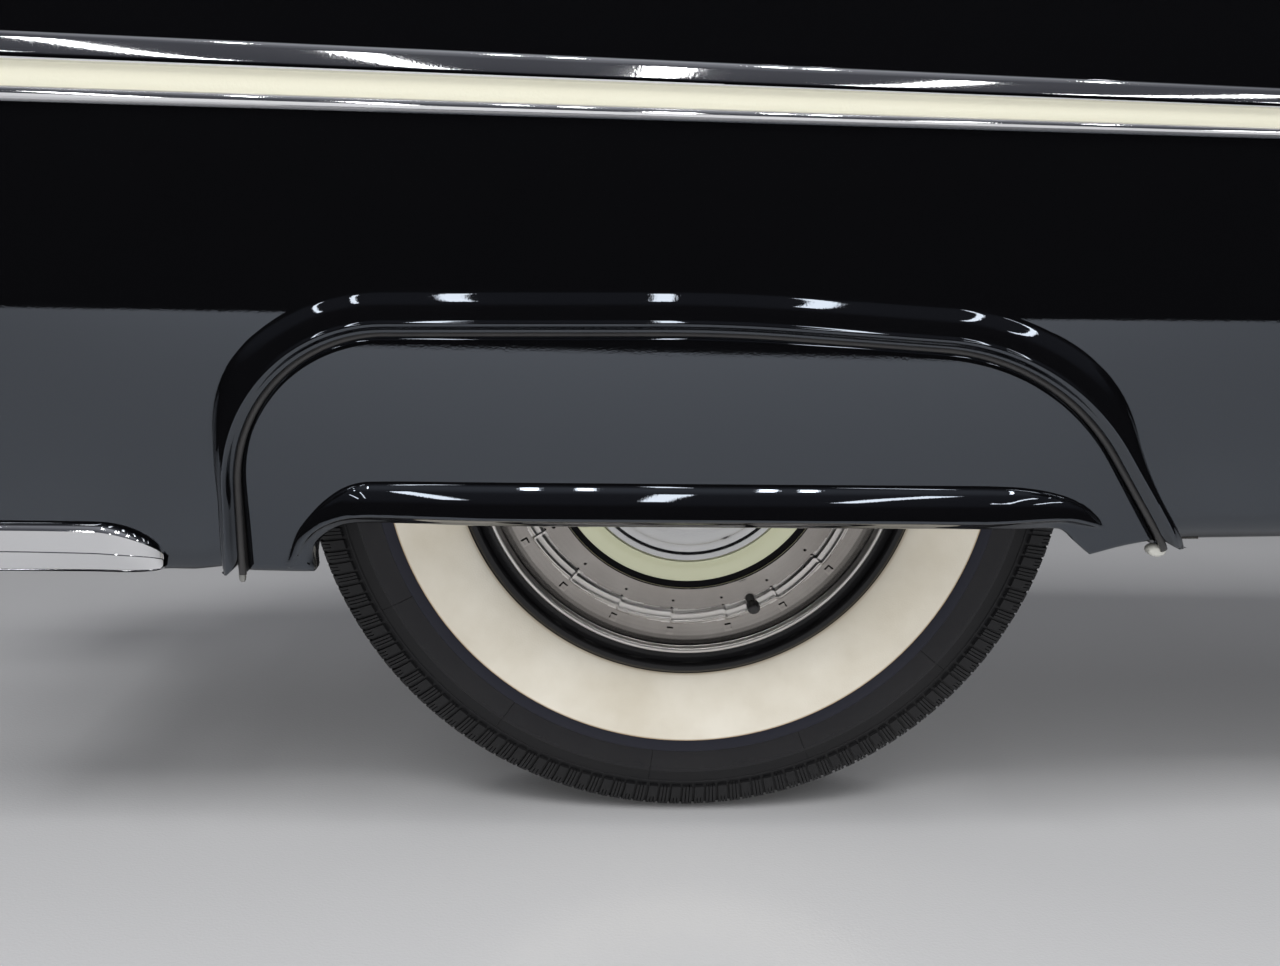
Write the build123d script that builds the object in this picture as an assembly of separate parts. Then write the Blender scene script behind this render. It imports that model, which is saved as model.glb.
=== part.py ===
from build123d import *
import math
import os

os.makedirs("parts", exist_ok=True)

# Left rear quarter of a 1950s two-door family car, taken off whole: the outer panel with its flared
# wheel opening, the fender skirt, the bright mouldings, the wheelhouse and floor edge, the chassis
# rail with its leaf spring, and the half axle that carries the whitewall wheel.
# Millimetres. X runs to the rear, Y runs inboard, Z runs up. The origin is the centre of the four
# cross-member bolts on the inner face of the rail, straight above the axle line.

# Chassis and axle
AXLE_DROP = 190.0            # rail bolts down to the axle line
RAIL_WIDTH = 75.0
RAIL_HEIGHT = 100.0
RAIL_WALL = 3.0
HALF_TRACK = 314.0           # rail inner face out to the middle of the tyre
SPRING_REACH = 113.0         # rail inner face out to the middle of the spring
AXLE_INNER_Y = 120.0         # inboard face of the axle tube's flange
AXLE_TUBE_R = 36.0
AXLE_TUBE_BORE_R = 29.0
SHAFT_R = 15.5
SPLINE_R = 14.0
SPLINE = 30.0             # shaft end that enters the side gear
RUNNING_FIT = 0.05
SEAT = 0.3                   # gap left where two curved faces meet

# Wheel
TYRE_R = 348.0
TYRE_WIDTH = 176.0
RIM_FLANGE_R = 210.0
BEAD_SEAT = 19.5             # height of the rim flange over the tyre's bead seat
RIM_HALF = 63.5              # half the rim width between its flanges
RIM_LIP = 12.0               # curl of the flange outside that
RIM_THICK = 3.0
HUB_FACE = 8.0               # wheel bolting face outboard of the tyre's middle
BOLT_CIRCLE = 120.65
BOLT_COUNT = 5
BOLT_R = 6.3
PILOT_R = 36.0               # bore of disc and drum that centres on the hub
WELL_DEPTH = 22.0            # drop well under the bead seat
DRUM_RIB = 4.0               # cooling rib round the drum's open edge
DRUM_GAP = 9.5               # from that rib out to the drop well
DRUM_DEPTH = 66.0

# Body panel, with heights from the axle line and reach measured outboard of the rim's flange
SKIN = 1.6
SIDE_REACH = 126.0           # where the body side bows out furthest
FLARE_REACH = 129.0
FLARE_BAND = 28.0            # width of the rolled flare round the opening
HEM_REACH = 118.0            # hem edge, where the flare rolls in to the seal
CORE_REACH = 35.0            # how far in the panel's edges are turned
LIP_REACH = 66.0             # inner edge of the deep lip round the opening
SEAL_GAP = 3.0
PANEL_FRONT = -640.0
PANEL_REAR = 1150.0

# Wheelhouse and floor
HOUSE_R = 432.0
HOUSE_INNER_Y = -196.0
SHEET = 1.5
CUSHION = 22.0

AXLE_Z = -AXLE_DROP
WHEEL_Y = -HALF_TRACK
BEAD_R = RIM_FLANGE_R - BEAD_SEAT
WELL_R = BEAD_R - WELL_DEPTH - RIM_THICK
DRUM_R = WELL_R - DRUM_GAP - DRUM_RIB
FLANGE_Y = WHEEL_Y - RIM_HALF - RIM_LIP
AXLE_LINE = Axis((0, 0, AXLE_Z), (0, 1, 0))


def save(part, node):
    export_step(part, f"parts/{node}.step")


def out(reach):
    # reach outboard of the rim flange as a Y value
    return FLANGE_Y - reach


def high(height):
    # height above the axle line as a Z value
    return AXLE_Z + height


def side_face(wire_points, radii=None):
    # closed face in the side view, from (x, height) corners with one radius for each corner
    pts = [(x, high(h)) for x, h in wire_points]
    if radii is None:
        edges = Polyline(*pts, close=True)
    else:
        edges = FilletPolyline(*pts, radius=radii, close=True)
    return make_face(Plane.XZ * edges)


def side_block(face, y_from, y_to):
    # the side view face carried across from one Y to another
    low, top = sorted((y_from, y_to))
    return Pos(0, top, 0) * extrude(face, top - low, dir=(0, -1, 0))


def spun(points):
    # ring from (radius, outboard) corners round the axle line
    pts = [(WHEEL_Y - w, AXLE_Z + r) for r, w in points]
    return revolve(make_face(Plane.YZ * Polyline(*pts, close=True)), AXLE_LINE)


# Body side sections
# x, bottom height, bottom reach, side height, side reach, shoulder height, shoulder reach,
# belt height, belt reach
STATIONS = [
    (PANEL_FRONT, -90, 78, 230, SIDE_REACH, 480, 112, 560, 62),
    (-380, -90, 78, 230, SIDE_REACH, 480, 112, 560, 62),
    (420, -66, 80, 230, SIDE_REACH, 476, 112, 552, 62),
    (800, -58, 74, 225, 118, 466, 104, 538, 58),
    (PANEL_REAR, -16, 44, 210, 86, 440, 74, 500, 50),
]


def body_form(inset, core_reach):
    # solid bounded by the outer skin, drawn in by inset on every side but the inboard one
    faces = []
    last = len(STATIONS) - 1
    for i, (x, h0, r0, h1, r1, h2, r2, h3, r3) in enumerate(STATIONS):
        x += inset if i == 0 else -inset if i == last else 0
        bottom = (out(r0 - inset), high(h0 + inset))
        side = (out(r1 - inset), high(h1))
        shoulder = (out(r2 - inset), high(h2))
        belt = (out(r3 - inset), high(h3 - inset))
        upper = TangentArc(side, shoulder, tangent=(0, 1))
        edges = [
            TangentArc(side, bottom, tangent=(0, -1)),
            upper,
            TangentArc(shoulder, belt, tangent=upper % 1),
            Polyline(belt, (out(core_reach), belt[1]), (out(core_reach), bottom[1]), bottom),
        ]
        faces.append(Plane.YZ.offset(x) * make_face(edges))
    return loft(faces)


# Wheel opening: (x, height) corners of the rubber seal's middle line and the radius at each
OPENING = [
    (-368.0, -84.0, 0),
    (-370.0, 107.0, 122),
    (20.0, 111.0, 1500),
    (286.0, 94.0, 185),
    (386.0, -62.0, 0),
]
OPENING_LOW = -130.0


def opening_face(grow):
    # the opening's outline run down past the sill and grown by an even amount
    corners = [(x, h) for x, h, r in OPENING]
    front = (corners[0][0], OPENING_LOW)
    slope = (corners[4][0] - corners[3][0]) / (corners[4][1] - corners[3][1])
    rear = (corners[4][0] + slope * (OPENING_LOW - corners[4][1]), OPENING_LOW)
    radii = [0, OPENING[1][2], OPENING[2][2], OPENING[3][2], 0]
    face = side_face([front] + corners[1:4] + [rear], radii)
    return offset(face, grow) if grow else face


FLARE_ROLL = 12.0
FLARE_DRAFT = 12.0           # slope of the flare's outer side
HEM_SLOPE = 42.0             # slope of the flare's inner side down to the hem
SILL_FRONT = -88.0
SILL_REAR = -65.0
SILL_ROLL = 34.0             # height over which the flare's feet slope in to the sill
SILL_TUCK = 26.0             # how far in they slope
FAR_OUT = out(300)           # planes clear of the whole panel, for cuts across it
FAR_IN = out(-100)


def sill_cut(inset=0):
    # everything under the line that joins the front and rear sills
    low = side_face([(PANEL_FRONT - 50, SILL_FRONT + inset), (-300, SILL_FRONT + inset),
                     (300, SILL_REAR + inset), (PANEL_REAR, SILL_REAR + inset), (PANEL_REAR, -400),
                     (PANEL_FRONT - 50, -400)])
    return side_block(low, FAR_OUT, FAR_IN)


def flare_feet(inset):
    # wedges that slope the flare's two ends in, as the body beside them tucks under
    wedges = Part()
    for sill, x in ((SILL_FRONT, PANEL_FRONT), (SILL_REAR, 0)):
        low, top = high(sill + inset), high(sill + SILL_ROLL + inset)
        front = out(FLARE_REACH - inset)
        corners = [(front, top), (front + SILL_TUCK, low), (front - 20, low), (front - 20, top)]
        face = Plane.YZ.offset(x) * make_face(Polyline(*corners, close=True))
        wedges += extrude(face, -PANEL_FRONT, dir=(1, 0, 0))
    return wedges


def flare_form(inset):
    # tapered block that stands out round the opening, with a rolled outer edge
    reach = FLARE_REACH - inset
    rise = reach - CORE_REACH
    foot = SEAL_GAP / 2 + FLARE_BAND + math.tan(math.radians(FLARE_DRAFT)) * rise - inset
    block = extrude(Pos(0, out(CORE_REACH), 0) * opening_face(foot), rise, dir=(0, -1, 0), taper=FLARE_DRAFT)
    tip = [e for e in block.edges() if abs(e.center().Y - out(reach)) < 0.5]
    return fillet(tip, FLARE_ROLL - inset) - sill_cut(inset) - flare_feet(inset)


def flare_mouth(grow, depth):
    # the opening itself, which widens from the hem out to the flare's crest
    straight = side_block(opening_face(SEAL_GAP / 2 + grow), out(HEM_REACH), out(depth))
    mouth = Pos(0, out(HEM_REACH), 0) * opening_face(SEAL_GAP / 2 + grow)
    return straight + extrude(mouth, 2 * (FLARE_REACH - HEM_REACH), dir=(0, -1, 0), taper=-HEM_SLOPE)


def quarter_panel():
    outer = body_form(0, CORE_REACH) + flare_form(0)
    inner = body_form(SKIN, CORE_REACH - 60) + flare_form(SKIN) - flare_mouth(SKIN, LIP_REACH)
    lip = side_block(opening_face(SEAL_GAP / 2 + SKIN), out(HEM_REACH), out(LIP_REACH))
    return outer - inner + (lip - sill_cut()) - flare_mouth(0, 0)


# Fender skirt: its outer face bulges a little between the rolled edge along the seal and the bead
SKIRT_TOP_REACH = 112.0
SKIRT_MID_REACH = 119.0
SKIRT_LOW_REACH = 113.0
SKIRT_FLANGE = 22.0          # how far its edges are turned in
SKIRT_ROLL = 6.0             # width of the rolled edge along the seal
SKIRT_ROLL_REACH = 115.5
# (x, height, radius) corners of its bottom edge, with a foot at each end
SKIRT_EDGE = [(-368, -86, 0), (-312, -86, 0), (-288, -44, 36), (283, -49, 12), (331, -70, 0), (386, -54, 0)]
SKIRT_BEAD_R = 13.5
BEAD_REACH = 113.0
BEAD_WALL = 1.5
BEAD_PATH = [(-322, -82, 0), (-300, -29, 70), (258, -31, 90), (286, -38, 0)]
BEAD_TAPER = 12.0            # degrees, where the bead runs out to a point at the rear
BEAD_POINT = 48.0


def skirt_form(inset):
    # solid behind the skirt's curved outer face
    top = (out(SKIRT_TOP_REACH - inset), high(130))
    mid = (out(SKIRT_MID_REACH - inset), high(10))
    low = (out(SKIRT_LOW_REACH - inset), high(-100))
    back = out(SKIRT_LOW_REACH - SKIRT_FLANGE - inset)
    edges = [ThreePointArc(top, mid, low), Polyline(low, (back, low[1]), (back, top[1]), top)]
    return Pos(-450, 0, 0) * extrude(Plane.YZ * make_face(edges), 900, dir=(1, 0, 0))


def skirt_bottom():
    # everything below the skirt's bottom edge
    bottom = [(x, h) for x, h, r in SKIRT_EDGE]
    radii = [r for x, h, r in SKIRT_EDGE]
    return side_face([(-450, -400), (-450, bottom[0][1])] + bottom + [(450, bottom[-1][1]), (450, -400)],
                     [0, 0] + radii + [0, 0])


def skirt_outline(inset):
    # the opening's outline, less the seal, closed by the skirt's own bottom edge
    low = skirt_bottom()
    return opening_face(-inset - SEAL_GAP / 2) - (offset(low, inset) if inset else low)


def skirt_rolled_edge():
    # low rounded rib along the seal
    ring = opening_face(-SEAL_GAP / 2) - opening_face(-SEAL_GAP / 2 - SKIRT_ROLL)
    rib = side_block(ring - skirt_bottom(), out(SKIRT_ROLL_REACH), out(SKIRT_LOW_REACH - SKIRT_FLANGE / 2))
    crest = [e for e in rib.edges() if abs(e.center().Y - out(SKIRT_ROLL_REACH)) < 0.01]
    return fillet([e for e in crest if e.length > SKIRT_ROLL * 1.5], SKIRT_ROLL * 0.4)


def skirt_bead(radius):
    # round bar along the bottom edge, run out to a point at the rear
    path = FilletPolyline(*[(x, out(BEAD_REACH), high(h)) for x, h, r in BEAD_PATH],
                          radius=[r for x, h, r in BEAD_PATH[1:-1]])
    bar = sweep(Plane(path @ 0, z_dir=path % 0) * Circle(radius), path)
    reach = BEAD_POINT * radius / SKIRT_BEAD_R
    return bar + extrude(Plane(path @ 1, z_dir=path % 1) * Circle(radius), reach, taper=BEAD_TAPER)


def fender_skirt():
    plate = skirt_form(0) & side_block(skirt_outline(0), FAR_OUT, out(0))
    hollow = skirt_form(SKIN) & side_block(skirt_outline(SKIN), FAR_OUT, out(0))
    shell = plate + skirt_rolled_edge() - hollow + skirt_bead(SKIRT_BEAD_R)
    return shell - skirt_bead(SKIRT_BEAD_R - BEAD_WALL)


def skirt_seal():
    ring = opening_face(SEAL_GAP / 2) - opening_face(-SEAL_GAP / 2)
    return side_block(ring, out(SKIRT_TOP_REACH + 2), out(LIP_REACH + 6)) - sill_cut() - skirt_rest()


# Bright mouldings: heights at the front and rear ends of the panel's straight side
MOULD_FRONT = -634.0
MOULD_REAR = 760.0
MOULD_TOP = (333.0, 293.0)
MOULD_LOW = (281.0, 260.0)
MOULD_BANDS = {"moulding_upper": (0.58, 1.0, 7.0), "moulding_insert": (0.22, 0.58, 3.0),
               "moulding_lower": (0.0, 0.22, 6.0)}
MOULD_ROOT = SIDE_REACH - 26


def moulding_band(low_share, high_share, proud, skin):
    faces = []
    for x, top, low in zip((MOULD_FRONT, MOULD_REAR), MOULD_TOP, MOULD_LOW):
        h0 = high(low + (top - low) * low_share)
        h1 = high(low + (top - low) * high_share)
        side, root = out(SIDE_REACH), out(MOULD_ROOT)
        edges = [ThreePointArc((side, h0), (side - proud, (h0 + h1) / 2), (side, h1)),
                 Polyline((side, h1), (root, h1), (root, h0), (side, h0))]
        faces.append(Plane.YZ.offset(x) * make_face(edges))
    return loft(faces) - skin


# Rocker spear along the sill: its upper face curves out to a crease, its lower face slopes back in
ROCKER_TOP = -50.0
ROCKER_CREASE = -70.0
ROCKER_LOW = -86.0
ROCKER_NOSE = -443.0
ROCKER_POINT = 50.0          # length over which the top edge falls to the nose
ROCKER_REACH = 98.0          # at the crease
ROCKER_EDGE_REACH = 90.0     # along both edges
ROCKER_ROOT = 60.0


def rocker_moulding(skin):
    spear = side_face([(MOULD_FRONT, ROCKER_TOP), (ROCKER_NOSE - ROCKER_POINT, ROCKER_TOP),
                       (ROCKER_NOSE, ROCKER_LOW + 8), (ROCKER_NOSE, ROCKER_LOW), (MOULD_FRONT, ROCKER_LOW)],
                      [0, ROCKER_POINT, 5, 2.5, 0])
    top = (out(ROCKER_EDGE_REACH), high(ROCKER_TOP))
    crease = (out(ROCKER_REACH), high(ROCKER_CREASE))
    low = (out(ROCKER_EDGE_REACH), high(ROCKER_LOW))
    edges = [TangentArc(crease, top, tangent=(0, 1)),
             Polyline(crease, low, (out(ROCKER_ROOT), low[1]), (out(ROCKER_ROOT), top[1]), top)]
    length = ROCKER_NOSE - MOULD_FRONT
    form = Pos(MOULD_FRONT, 0, 0) * extrude(Plane.YZ * make_face(edges), length, dir=(1, 0, 0))
    return (form & side_block(spear, out(ROCKER_REACH + 1), out(ROCKER_ROOT))) - skin


# Wheelhouse, floor and inner walls
def arch_face(radius, low):
    pts = [(-radius, high(low)), (-radius, AXLE_Z)]
    edges = [Line(*pts), ThreePointArc((-radius, AXLE_Z), (0, AXLE_Z + radius), (radius, AXLE_Z)),
             Polyline((radius, AXLE_Z), (radius, high(low)), (-radius, high(low)))]
    return Plane.XZ * make_face(edges)


HOUSE_SPLIT_Y = -330.0
HOUSE_LOW = -84.0


AXLE_GAP = 120.0             # half width of the inner wall's opening over the axle tube


def wheelhouse_outer(skin_core):
    shell = side_block(arch_face(HOUSE_R + SHEET, HOUSE_LOW), out(LIP_REACH), HOUSE_SPLIT_Y)
    shell -= side_block(arch_face(HOUSE_R, HOUSE_LOW - 50), out(LIP_REACH - SHEET), HOUSE_SPLIT_Y + 10)
    shell -= side_block(opening_face(-6), FAR_OUT, out(0))
    return (shell & skin_core) - sill_cut()


def wheelhouse_inner():
    shell = side_block(arch_face(HOUSE_R + SHEET, HOUSE_LOW), HOUSE_SPLIT_Y, HOUSE_INNER_Y)
    shell -= side_block(arch_face(HOUSE_R, HOUSE_LOW - 50), HOUSE_SPLIT_Y - 10, HOUSE_INNER_Y - SHEET)
    # the axle and its spring pass under the inner wall
    gap = side_face([(-AXLE_GAP, 100), (AXLE_GAP, 100), (AXLE_GAP, -200), (-AXLE_GAP, -200)],
                    [AXLE_GAP / 3, AXLE_GAP / 3, 0, 0])
    return shell - side_block(gap, HOUSE_INNER_Y - 10, HOUSE_INNER_Y + 10)


# Rail: (x, height of its middle line) along the kick-up, one radius at each inner corner
RAIL_LINE = [(-760, -40, 0), (-500, -40, 160), (-250, AXLE_DROP, 160), (330, AXLE_DROP, 220),
             (640, 150, 220), (1130, 150, 0)]


def rail_band(low, top):
    # side view band that follows the rail's middle line between two heights above it
    pts = [(x, high(h), r) for x, h, r in RAIL_LINE]
    upper = FilletPolyline(*[(x, z + top) for x, z, r in pts], radius=[r for x, z, r in pts[1:-1]])
    lower = FilletPolyline(*[(x, z + low) for x, z, r in pts], radius=[r for x, z, r in pts[1:-1]])
    ends = [Line(upper @ 0, lower @ 0), Line(upper @ 1, lower @ 1)]
    return Plane.XZ * make_face(upper.edges() + lower.edges() + ends)


CROSS_BOLTS_X = 90.0
CROSS_BOLTS_Z = 50.0
CROSS_BOLT_R = 5.5


def frame_rail():
    half = RAIL_HEIGHT / 2
    rail = side_block(rail_band(-half, half), -RAIL_WIDTH, 0)
    rail -= side_block(rail_band(RAIL_WALL - half, half - RAIL_WALL), RAIL_WALL - RAIL_WIDTH, -RAIL_WALL)
    for x in (-CROSS_BOLTS_X / 2, CROSS_BOLTS_X / 2):
        for z in (-CROSS_BOLTS_Z / 2, CROSS_BOLTS_Z / 2):
            rail -= Pos(x, 0, z) * Rot(90, 0, 0) * Cylinder(CROSS_BOLT_R, 3 * RAIL_WALL)
    return rail


FLOOR_INNER_Y = 60.0


def floor_side(house):
    low = RAIL_HEIGHT / 2 + CUSHION
    band = rail_band(low, low + SHEET)
    floor = side_block(band, out(CORE_REACH), FLOOR_INNER_Y)
    trim = Box(PANEL_REAR - SKIN - PANEL_FRONT - SKIN, 1200, 1200)
    return (floor & Pos((PANEL_REAR + PANEL_FRONT) / 2, 0, 0) * trim) - house


CUSHION_R = 27.0
# (x, height of the rail's middle line) of each cushion
CUSHION_SPOTS = [(-590, RAIL_LINE[0][1]), (-20, AXLE_DROP), (900, RAIL_LINE[-1][1])]


def body_cushions():
    discs = []
    for x, h in CUSHION_SPOTS:
        z = high(h) + RAIL_HEIGHT / 2 + CUSHION / 2
        discs.append(Pos(x, -RAIL_WIDTH / 2, z) * Cylinder(CUSHION_R, CUSHION))
    return Compound(children=discs)


INNER_WALL = 2.0


def inner_walls():
    # pressed walls that close the panel's turned bottom edge up to the floor, ahead and behind the wheel
    front_top = RAIL_LINE[0][1] + RAIL_HEIGHT / 2 + CUSHION
    rear_top = RAIL_LINE[-1][1] + RAIL_HEIGHT / 2 + CUSHION
    low = {x: h + 2 for x, h, *rest in STATIONS}
    house = HOUSE_R + SHEET
    front = side_face([(PANEL_FRONT + SKIN, low[PANEL_FRONT]), (-house, low[-380]), (-house, front_top),
                       (PANEL_FRONT + SKIN, front_top)])
    rear = side_face([(house, low[420]), (800, low[800]), (PANEL_REAR - SKIN, low[PANEL_REAR]),
                      (PANEL_REAR - SKIN, rear_top), (RAIL_LINE[-2][0], rear_top), (house, rear_top + 20)])
    y0, y1 = out(CORE_REACH), out(CORE_REACH) + INNER_WALL
    return side_block(front, y0, y1), side_block(rear, y0, y1)


# Leaf spring: five leaves of one width, bowed down to the middle
LEAF_WIDTH = 50.0
LEAF_THICK = 6.5
LEAVES = 5
EYE_FRONT = -620.0
EYE_REAR = 700.0
SPRING_SAG = 30.0
EYE_R = 17.0
EYE_PIN_R = 7.0
PAD_THICK = 12.0


SPRING_TOP = AXLE_Z - AXLE_TUBE_R - PAD_THICK
SPRING_R = (EYE_REAR - EYE_FRONT) ** 2 / 8 / SPRING_SAG


def leaf(x0, x1, level):
    # one leaf as an arc in the side view, clamped under the axle at x = 0
    r = SPRING_R + level * LEAF_THICK
    ring = Circle(r + LEAF_THICK) - Circle(r)
    band = Pos(0, SPRING_TOP + SPRING_R) * ring & Pos((x0 + x1) / 2, SPRING_TOP) * Rectangle(x1 - x0, 400)
    return side_block(Plane.XZ * band, -SPRING_REACH - LEAF_WIDTH / 2, -SPRING_REACH + LEAF_WIDTH / 2)


def eye_height(x):
    # middle of the eye rolled up at the end of the main leaf
    return SPRING_TOP + SPRING_R - math.sqrt(SPRING_R ** 2 - x ** 2) + EYE_R - LEAF_THICK


def across(radius, length, x, z, y_mid):
    return Pos(x, y_mid, z) * Rot(90, 0, 0) * Cylinder(radius, length)


def leaf_spring():
    main = leaf(EYE_FRONT, EYE_REAR, 0)
    for x in (EYE_FRONT, EYE_REAR):
        main += across(EYE_R, LEAF_WIDTH, x, eye_height(x), -SPRING_REACH)
        main -= across(EYE_PIN_R, LEAF_WIDTH + 2, x, eye_height(x), -SPRING_REACH)
    rest = Part()
    for level in range(1, LEAVES):
        reach = 1 - level / (LEAVES + 0.2)
        rest += leaf(EYE_FRONT * reach, EYE_REAR * reach, level)
    return main, rest


SHACKLE_HIGH = 78.0
LINK_R = 16.0                # ends of the shackle's plates
HANGER_R = 24.0
BRIDGE_LENGTH = 120.0
BRIDGE_THICK = 10.0
BRACKET_LENGTH = 90.0
BRACKET_HEIGHT = 60.0
BOLT_ENDS = 12.0             # bolt length that stands out of the cheeks
CHEEK = 5.0
CHEEK_GAP = LEAF_WIDTH / 2 + SEAT
CHEEKS = (-SPRING_REACH - CHEEK_GAP - CHEEK, -SPRING_REACH + CHEEK_GAP)
PIN_LENGTH = 2 * CHEEK_GAP + 2 * CHEEK + BOLT_ENDS


def link_plate(low, high_shape, y):
    # flat plate whose outline wraps two shapes in the side view
    return side_block(Plane.XZ * make_hull([*low.edges(), *high_shape.edges()]), y, y + CHEEK)


def front_hanger():
    # outer cheek, inner cheek filled out to the rail, and the bridge over the eye
    z = eye_height(EYE_FRONT)
    low = Pos(EYE_FRONT, z) * Circle(HANGER_R)
    bridge = Pos(EYE_FRONT, z + HANGER_R + SEAT) * Rectangle(BRIDGE_LENGTH, BRIDGE_THICK)
    cheek = Plane.XZ * make_hull([*low.edges(), *bridge.edges()])
    hanger = side_block(cheek, CHEEKS[0], CHEEKS[0] + CHEEK) + side_block(cheek, CHEEKS[1], -RAIL_WIDTH)
    hanger += side_block(Plane.XZ * bridge, CHEEKS[0], -RAIL_WIDTH)
    bolt = across(EYE_PIN_R, PIN_LENGTH, EYE_FRONT, z, -SPRING_REACH)
    return hanger - bolt, bolt


def rear_shackle():
    low, top = eye_height(EYE_REAR), eye_height(EYE_REAR) + SHACKLE_HIGH
    ends = [Pos(EYE_REAR, z) * Circle(LINK_R) for z in (low, top)]
    shackle = link_plate(*ends, CHEEKS[0]) + link_plate(*ends, CHEEKS[1])
    for z in (low, top):
        shackle += across(EYE_PIN_R, PIN_LENGTH, EYE_REAR, z, -SPRING_REACH)
    head = Pos(EYE_REAR, high(RAIL_LINE[-1][1])) * Rectangle(BRACKET_LENGTH, BRACKET_HEIGHT)
    web = make_hull([*(Pos(EYE_REAR, top) * Circle(LINK_R + 2)).edges(), *head.edges()])
    outer = -SPRING_REACH - LEAF_WIDTH / 2
    bracket = side_block(Plane.XZ * web, outer, outer + LEAF_WIDTH)
    bracket += side_block(Plane.XZ * head, outer, -RAIL_WIDTH)
    return shackle, bracket - across(EYE_PIN_R, 2 * LEAF_WIDTH, EYE_REAR, top, -SPRING_REACH)


HOUSING_FLANGE_R = 105.0
HOUSING_FLANGE = 14.0
HOUSING_BOLTS = 8
HOUSING_PCD = 180.0
HOUSING_BOLT_R = 5.5
BACKING_Y = WHEEL_Y + 62.0
BACKING_R = DRUM_R + 6
BACKING_THICK = 3.0
BEARING_WIDTH = 22.0
BEARING_BOSS_R = 58.0
BEARING_BOSS = 12.0
PAD_LENGTH = 150.0


def axle_housing():
    length = AXLE_INNER_Y - BACKING_Y - BACKING_THICK
    mid = (AXLE_INNER_Y + BACKING_Y + BACKING_THICK) / 2
    tube = across(AXLE_TUBE_R, length, 0, AXLE_Z, mid)
    tube += across(HOUSING_FLANGE_R, HOUSING_FLANGE, 0, AXLE_Z, AXLE_INNER_Y - HOUSING_FLANGE / 2)
    tube += across(BEARING_BOSS_R, BEARING_BOSS, 0, AXLE_Z, BACKING_Y + BACKING_THICK + BEARING_BOSS / 2)
    pad = Box(PAD_LENGTH, LEAF_WIDTH, PAD_THICK + AXLE_TUBE_R)
    tube += Pos(0, -SPRING_REACH, AXLE_Z - (PAD_THICK + AXLE_TUBE_R) / 2) * pad
    tube -= across(AXLE_TUBE_BORE_R, length + 10, 0, AXLE_Z, mid)
    for i in range(HOUSING_BOLTS):
        turn = math.radians((i + 0.5) * 360 / HOUSING_BOLTS)
        x, z = HOUSING_PCD / 2 * math.cos(turn), HOUSING_PCD / 2 * math.sin(turn)
        tube -= across(HOUSING_BOLT_R, 3 * HOUSING_FLANGE, x, AXLE_Z + z, AXLE_INNER_Y)
    return tube - leaf(-PAD_LENGTH, PAD_LENGTH, 0)


def wheel_bearing():
    mid = BACKING_Y + BACKING_THICK + BEARING_WIDTH / 2
    ring = across(AXLE_TUBE_BORE_R, BEARING_WIDTH, 0, AXLE_Z, mid)
    return ring - across(SHAFT_R + RUNNING_FIT, 2 * BEARING_WIDTH, 0, AXLE_Z, mid)


def backing_plate():
    plate = across(BACKING_R, BACKING_THICK, 0, AXLE_Z, BACKING_Y + BACKING_THICK / 2)
    return plate - across(SHAFT_R + 6, 20, 0, AXLE_Z, BACKING_Y)


U_BOLT_R = 6.0
U_BOLT_END = 14.0            # thread that stands out under the plate
CLAMP_PLATE = 9.0
CLAMP_LENGTH = 130.0
CLAMP_WIDTH = 104.0
CLAMP_ARM = 40.0             # arm of the plate that reaches in under the damper


def spring_clamp():
    # plate under the leaves and the two bolts that saddle the axle tube
    low = SPRING_TOP - LEAVES * LEAF_THICK
    leg = AXLE_TUBE_R + SEAT + U_BOLT_R
    plate = Pos(0, -SPRING_REACH, low - CLAMP_PLATE / 2) * Box(CLAMP_LENGTH, CLAMP_WIDTH, CLAMP_PLATE)
    arm_mid = (DAMPER_LOW[1] - SPRING_REACH) / 2 + 8
    arm = Box(CLAMP_ARM, DAMPER_LOW[1] + SPRING_REACH + CLAMP_ARM / 2, CLAMP_PLATE)
    plate += Pos(DAMPER_LOW[0], arm_mid, low - CLAMP_PLATE / 2) * arm
    bolts = []
    for step in (-1, 1):
        y = -SPRING_REACH + step * (LEAF_WIDTH / 2 + U_BOLT_R + 1.5)
        foot = low - CLAMP_PLATE - U_BOLT_END
        front, rear = (-leg, y, AXLE_Z), (leg, y, AXLE_Z)
        saddle = ThreePointArc(front, (0, y, AXLE_Z + leg), rear)
        path = Line((-leg, y, foot), front) + saddle + Line(rear, (leg, y, foot))
        bolts.append(sweep(Plane((-leg, y, foot)) * Circle(U_BOLT_R), path))
        for x in (-leg, leg):
            plate -= Pos(x, y, low) * Cylinder(U_BOLT_R, 4 * CLAMP_PLATE)
    return plate, bolts


# Telescopic damper between the clamp plate and the rail
DAMPER_LOW = (85.0, -45.0)
DAMPER_TOP = (255.0, -37.5)
DAMPER_R = 21.0
SLEEVE_R = 26.0
ROD_R = 6.0
DAMPER_EYE_R = 14.0
DAMPER_EYE = 22.0            # width of the eye
DAMPER_PIN_R = 7.0
EAR_GAP = 26.0
EAR_R = 13.0
LOW_EYE_RISE = 16.0          # eye over the clamp plate, and under the rail at the top
TOP_EYE_DROP = 18.0
# shares of the damper's length between which each tube runs
TUBE_SPAN = (0.06, 0.56)
SLEEVE_SPAN = (0.41, 0.91)
ROD_SPAN = (0.03, 0.97)
SLEEVE_CAP = 3.0


def bar_along(line, length, span, radius):
    low, top = span
    return line * Pos(0, 0, length * (low + top) / 2) * Cylinder(radius, length * (top - low))


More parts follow.
